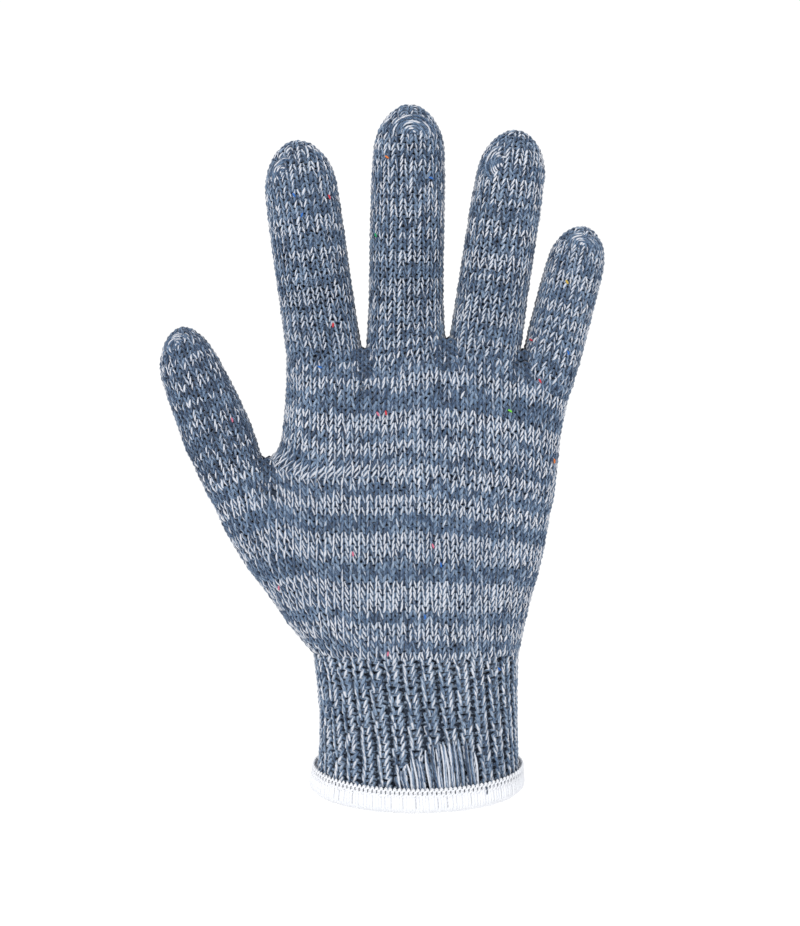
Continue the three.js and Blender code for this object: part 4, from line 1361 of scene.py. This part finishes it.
def build_stage(settings):
    """The floor, the lights, the white surroundings and the camera."""
    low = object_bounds()[0].z - settings.floor_gap
    reach = settings.floor_reach
    mesh = bpy.data.meshes.new("floor")
    rim = 64
    points = [(0, 0, low)] + [(reach * math.cos(i / rim * TURN), reach * math.sin(i / rim * TURN),
                               low) for i in range(rim)]
    mesh.from_pydata(points, [], [(0, i + 1, (i + 1) % rim + 1) for i in range(rim)])
    floor = bpy.data.objects.new("floor", mesh)
    bpy.context.scene.collection.objects.link(floor)
    paint = bpy.data.materials.new("pale_floor")
    paint.use_nodes = True
    shader = paint.node_tree.nodes["Principled BSDF"]
    shader.inputs["Base Color"].default_value = (*settings.floor_colour, 1)
    shader.inputs["Roughness"].default_value = 1.0
    shader.inputs["Specular IOR Level"].default_value = 0.0
    mesh.materials.append(paint)
    floor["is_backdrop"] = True

    world = bpy.data.worlds.new("white_room")
    world.use_nodes = True
    world.node_tree.nodes["Background"].inputs["Color"].default_value = (1, 1, 1, 1)
    world.node_tree.nodes["Background"].inputs["Strength"].default_value = settings.room_light
    bpy.context.scene.world = world

    for name, place, power, size in (
        ("key_light", (-0.55, -1.1, 0.95), settings.key_power, 0.5),
        ("fill_light", (0.7, -1.0, 0.2), settings.fill_power, 0.9),
    ):
        lamp = bpy.data.lights.new(name, "AREA")
        lamp.energy, lamp.size = power, size
        light = bpy.data.objects.new(name, lamp)
        light.location = place
        aim = Vector((0, 0, 0.12)) - light.location
        light.rotation_euler = aim.to_track_quat("-Z", "Y").to_euler()
        bpy.context.scene.collection.objects.link(light)

    eye, middle = camera_place()
    lens = bpy.data.cameras.new("camera")
    lens.sensor_width = 36
    lens.lens = 36 * CAMERA_DISTANCE / (max(IMAGE_SIZE) * PIXEL)
    camera = bpy.data.objects.new("camera", lens)
    camera.location = eye
    camera.rotation_euler = (middle - eye).to_track_quat("-Z", "Y").to_euler()
    bpy.context.scene.collection.objects.link(camera)
    bpy.context.scene.camera = camera
    bpy.context.scene.view_settings.view_transform = "Standard"


class GloveYarnColours(bpy.types.PropertyGroup):
    """Colours of the marled yarn and the hem."""

    def colour(title, words, value):
        return bpy.props.FloatVectorProperty(name=title, description=words, default=value,
                                             size=3, min=0, max=1, subtype="COLOR")

    white: colour("White strand", "The bleached strand that shows as white strokes",
                  (0.65, 0.66, 0.7))
    pale: colour("Pale ply", "The palest of the blue-grey plies", (0.34, 0.42, 0.53))
    sky: colour("Sky ply", "The bluer of the light plies", (0.15, 0.23, 0.345))
    slate: colour("Slate ply", "The ply that gives the glove its main colour",
                  (0.055, 0.1, 0.183))
    navy: colour("Navy ply", "The darkest ply", (0.018, 0.033, 0.065))
    # Painted shade: this colour darkens the yarn's sides, where the stitches would shade each other.
    shadow: colour("Yarn's sides", "The dark fibres deep between the stitches",
                   (0.016, 0.02, 0.036))
    hem: colour("Hem", "The bleached overlock thread", (0.75, 0.76, 0.79))
    hem_shade: colour("Hem shade", "The greyer parts of the hem's thread",
                      (0.58, 0.62, 0.7))


class GloveStage(bpy.types.PropertyGroup):
    """Floor and light round the glove."""

    floor_gap: bpy.props.FloatProperty(
        name="Floor gap", description="Height of the glove above the floor", default=0.1,
        min=0, unit="LENGTH")
    floor_reach: bpy.props.FloatProperty(
        name="Floor reach", description="Radius of the floor", default=30, min=0.5,
        unit="LENGTH")
    floor_colour: bpy.props.FloatVectorProperty(
        name="Floor colour", description="Colour of the pale floor",
        default=(0.99, 0.99, 0.99), size=3, min=0, max=1, subtype="COLOR")
    room_light: bpy.props.FloatProperty(
        name="Room light", description="Brightness of the white surroundings", default=1.04,
        min=0)
    key_power: bpy.props.FloatProperty(
        name="Key light", description="Power of the soft light from the upper left",
        default=9, min=0, unit="POWER")
    fill_power: bpy.props.FloatProperty(
        name="Fill light", description="Power of the soft light from the right", default=2,
        min=0, unit="POWER")


class KnitFingers(bpy.types.Operator):
    """Knit the four fingers and the thumb"""

    bl_idname = "glove.knit_fingers"
    bl_label = "Knit Fingers and Thumb"

    def execute(self, context):
        yarn = find_material("marled_yarn", marled_yarn, context.scene.glove_colours)
        for index in range(len(FINGERS) + 1):
            knit_digit(index, yarn)
        return {"FINISHED"}


class KnitPalm(bpy.types.Operator):
    """Knit the upper palm and the lower palm"""

    bl_idname = "glove.knit_palm"
    bl_label = "Knit Palm"

    def execute(self, context):
        yarn = find_material("marled_yarn", marled_yarn, context.scene.glove_colours)
        for node, rows, stripes in (("upper_palm", upper_palm_rows, UPPER_PALM_STRIPES),
                                    ("lower_palm", lower_palm_rows, LOWER_PALM_STRIPES)):
            tube = Tube(rows())
            match_solid(tube, node)
            knit = KNITS[node]
            courses = round(tube.length / knit["course"])
            # The dark sheet under the stitches is painted shadow.
            knit_shadow_sheet(node + "_shadow_sheet", tube, find_material("inner_face", inner_face))
            knit_tube(node + "_knit", tube, knit, charted_tones(stripes, courses), yarn, node)
        return {"FINISHED"}


class KnitCuff(bpy.types.Operator):
    """Knit the ribbed cuff and lay its loose strands"""

    bl_idname = "glove.knit_cuff"
    bl_label = "Knit Ribbed Cuff"

    def execute(self, context):
        yarn = find_material("marled_yarn", marled_yarn, context.scene.glove_colours)
        knit_cuff(yarn)
        lay_floats(yarn, find_material("pale_strand", pale_strand,
                                       context.scene.glove_colours))
        return {"FINISHED"}


class SewHem(bpy.types.Operator):
    """Sew the white overlocked hem round the wrist opening"""

    bl_idname = "glove.sew_hem"
    bl_label = "Sew Hem"

    def execute(self, context):
        sew_hem(find_material("white_thread", white_thread, context.scene.glove_colours))
        return {"FINISHED"}


class CloseTips(bpy.types.Operator):
    """Gather the yarn at the fingertips"""

    bl_idname = "glove.close_tips"
    bl_label = "Close Fingertips"

    def execute(self, context):
        close_tips(find_material("marled_yarn", marled_yarn, context.scene.glove_colours))
        return {"FINISHED"}


class DarnCrotches(bpy.types.Operator):
    """Knit the stitches that close the crotches of fingers and thumb"""

    bl_idname = "glove.darn_crotches"
    bl_label = "Knit Crotches"

    def execute(self, context):
        darn_crotches(find_material("marled_yarn", marled_yarn, context.scene.glove_colours))
        return {"FINISHED"}


class ScatterFlecks(bpy.types.Operator):
    """Catch a few coloured fibres in the yarn"""

    bl_idname = "glove.scatter_flecks"
    bl_label = "Scatter Flecks"

    def execute(self, context):
        scatter_flecks({colour: dyed_fibre(f"fibre_{colour}", value)
                        for colour, value in FLECK_COLOURS.items()})
        return {"FINISHED"}


class SetStage(bpy.types.Operator):
    """Set the pale floor, the soft light and the camera"""

    bl_idname = "glove.set_stage"
    bl_label = "Set Stage"

    def execute(self, context):
        build_stage(context.scene.glove_stage)
        return {"FINISHED"}


STEPS = (KnitFingers, KnitPalm, KnitCuff, SewHem, CloseTips, DarnCrotches, ScatterFlecks,
         SetStage)


class GlovePanel(bpy.types.Panel):
    """Sizes, colours and steps of the glove"""

    bl_idname = "VIEW3D_PT_glove"
    bl_label = "Knitted Glove"
    bl_space_type = "VIEW_3D"
    bl_region_type = "UI"
    bl_category = "Glove"

    def draw(self, context):
        for group in (context.scene.glove_colours, context.scene.glove_stage):
            box = self.layout.box()
            for name in group.__annotations__:
                box.prop(group, name)
        for step in STEPS:
            self.layout.operator(step.bl_idname)


CLASSES = (GloveYarnColours, GloveStage, *STEPS, GlovePanel)


def register():
    """Registers the classes and their settings."""
    for each in CLASSES:
        bpy.utils.register_class(each)
    bpy.types.Scene.glove_colours = bpy.props.PointerProperty(type=GloveYarnColours)
    bpy.types.Scene.glove_stage = bpy.props.PointerProperty(type=GloveStage)


def unregister():
    """Removes the settings and the classes."""
    del bpy.types.Scene.glove_stage
    del bpy.types.Scene.glove_colours
    for each in reversed(CLASSES):
        bpy.utils.unregister_class(each)


def main():
    """Builds the whole glove."""
    register()
    bpy.ops.glove.knit_fingers()
    bpy.ops.glove.knit_palm()
    bpy.ops.glove.knit_cuff()
    bpy.ops.glove.sew_hem()
    bpy.ops.glove.close_tips()
    bpy.ops.glove.darn_crotches()
    bpy.ops.glove.scatter_flecks()
    bpy.ops.glove.set_stage()


if __name__ == "__main__":
    main()
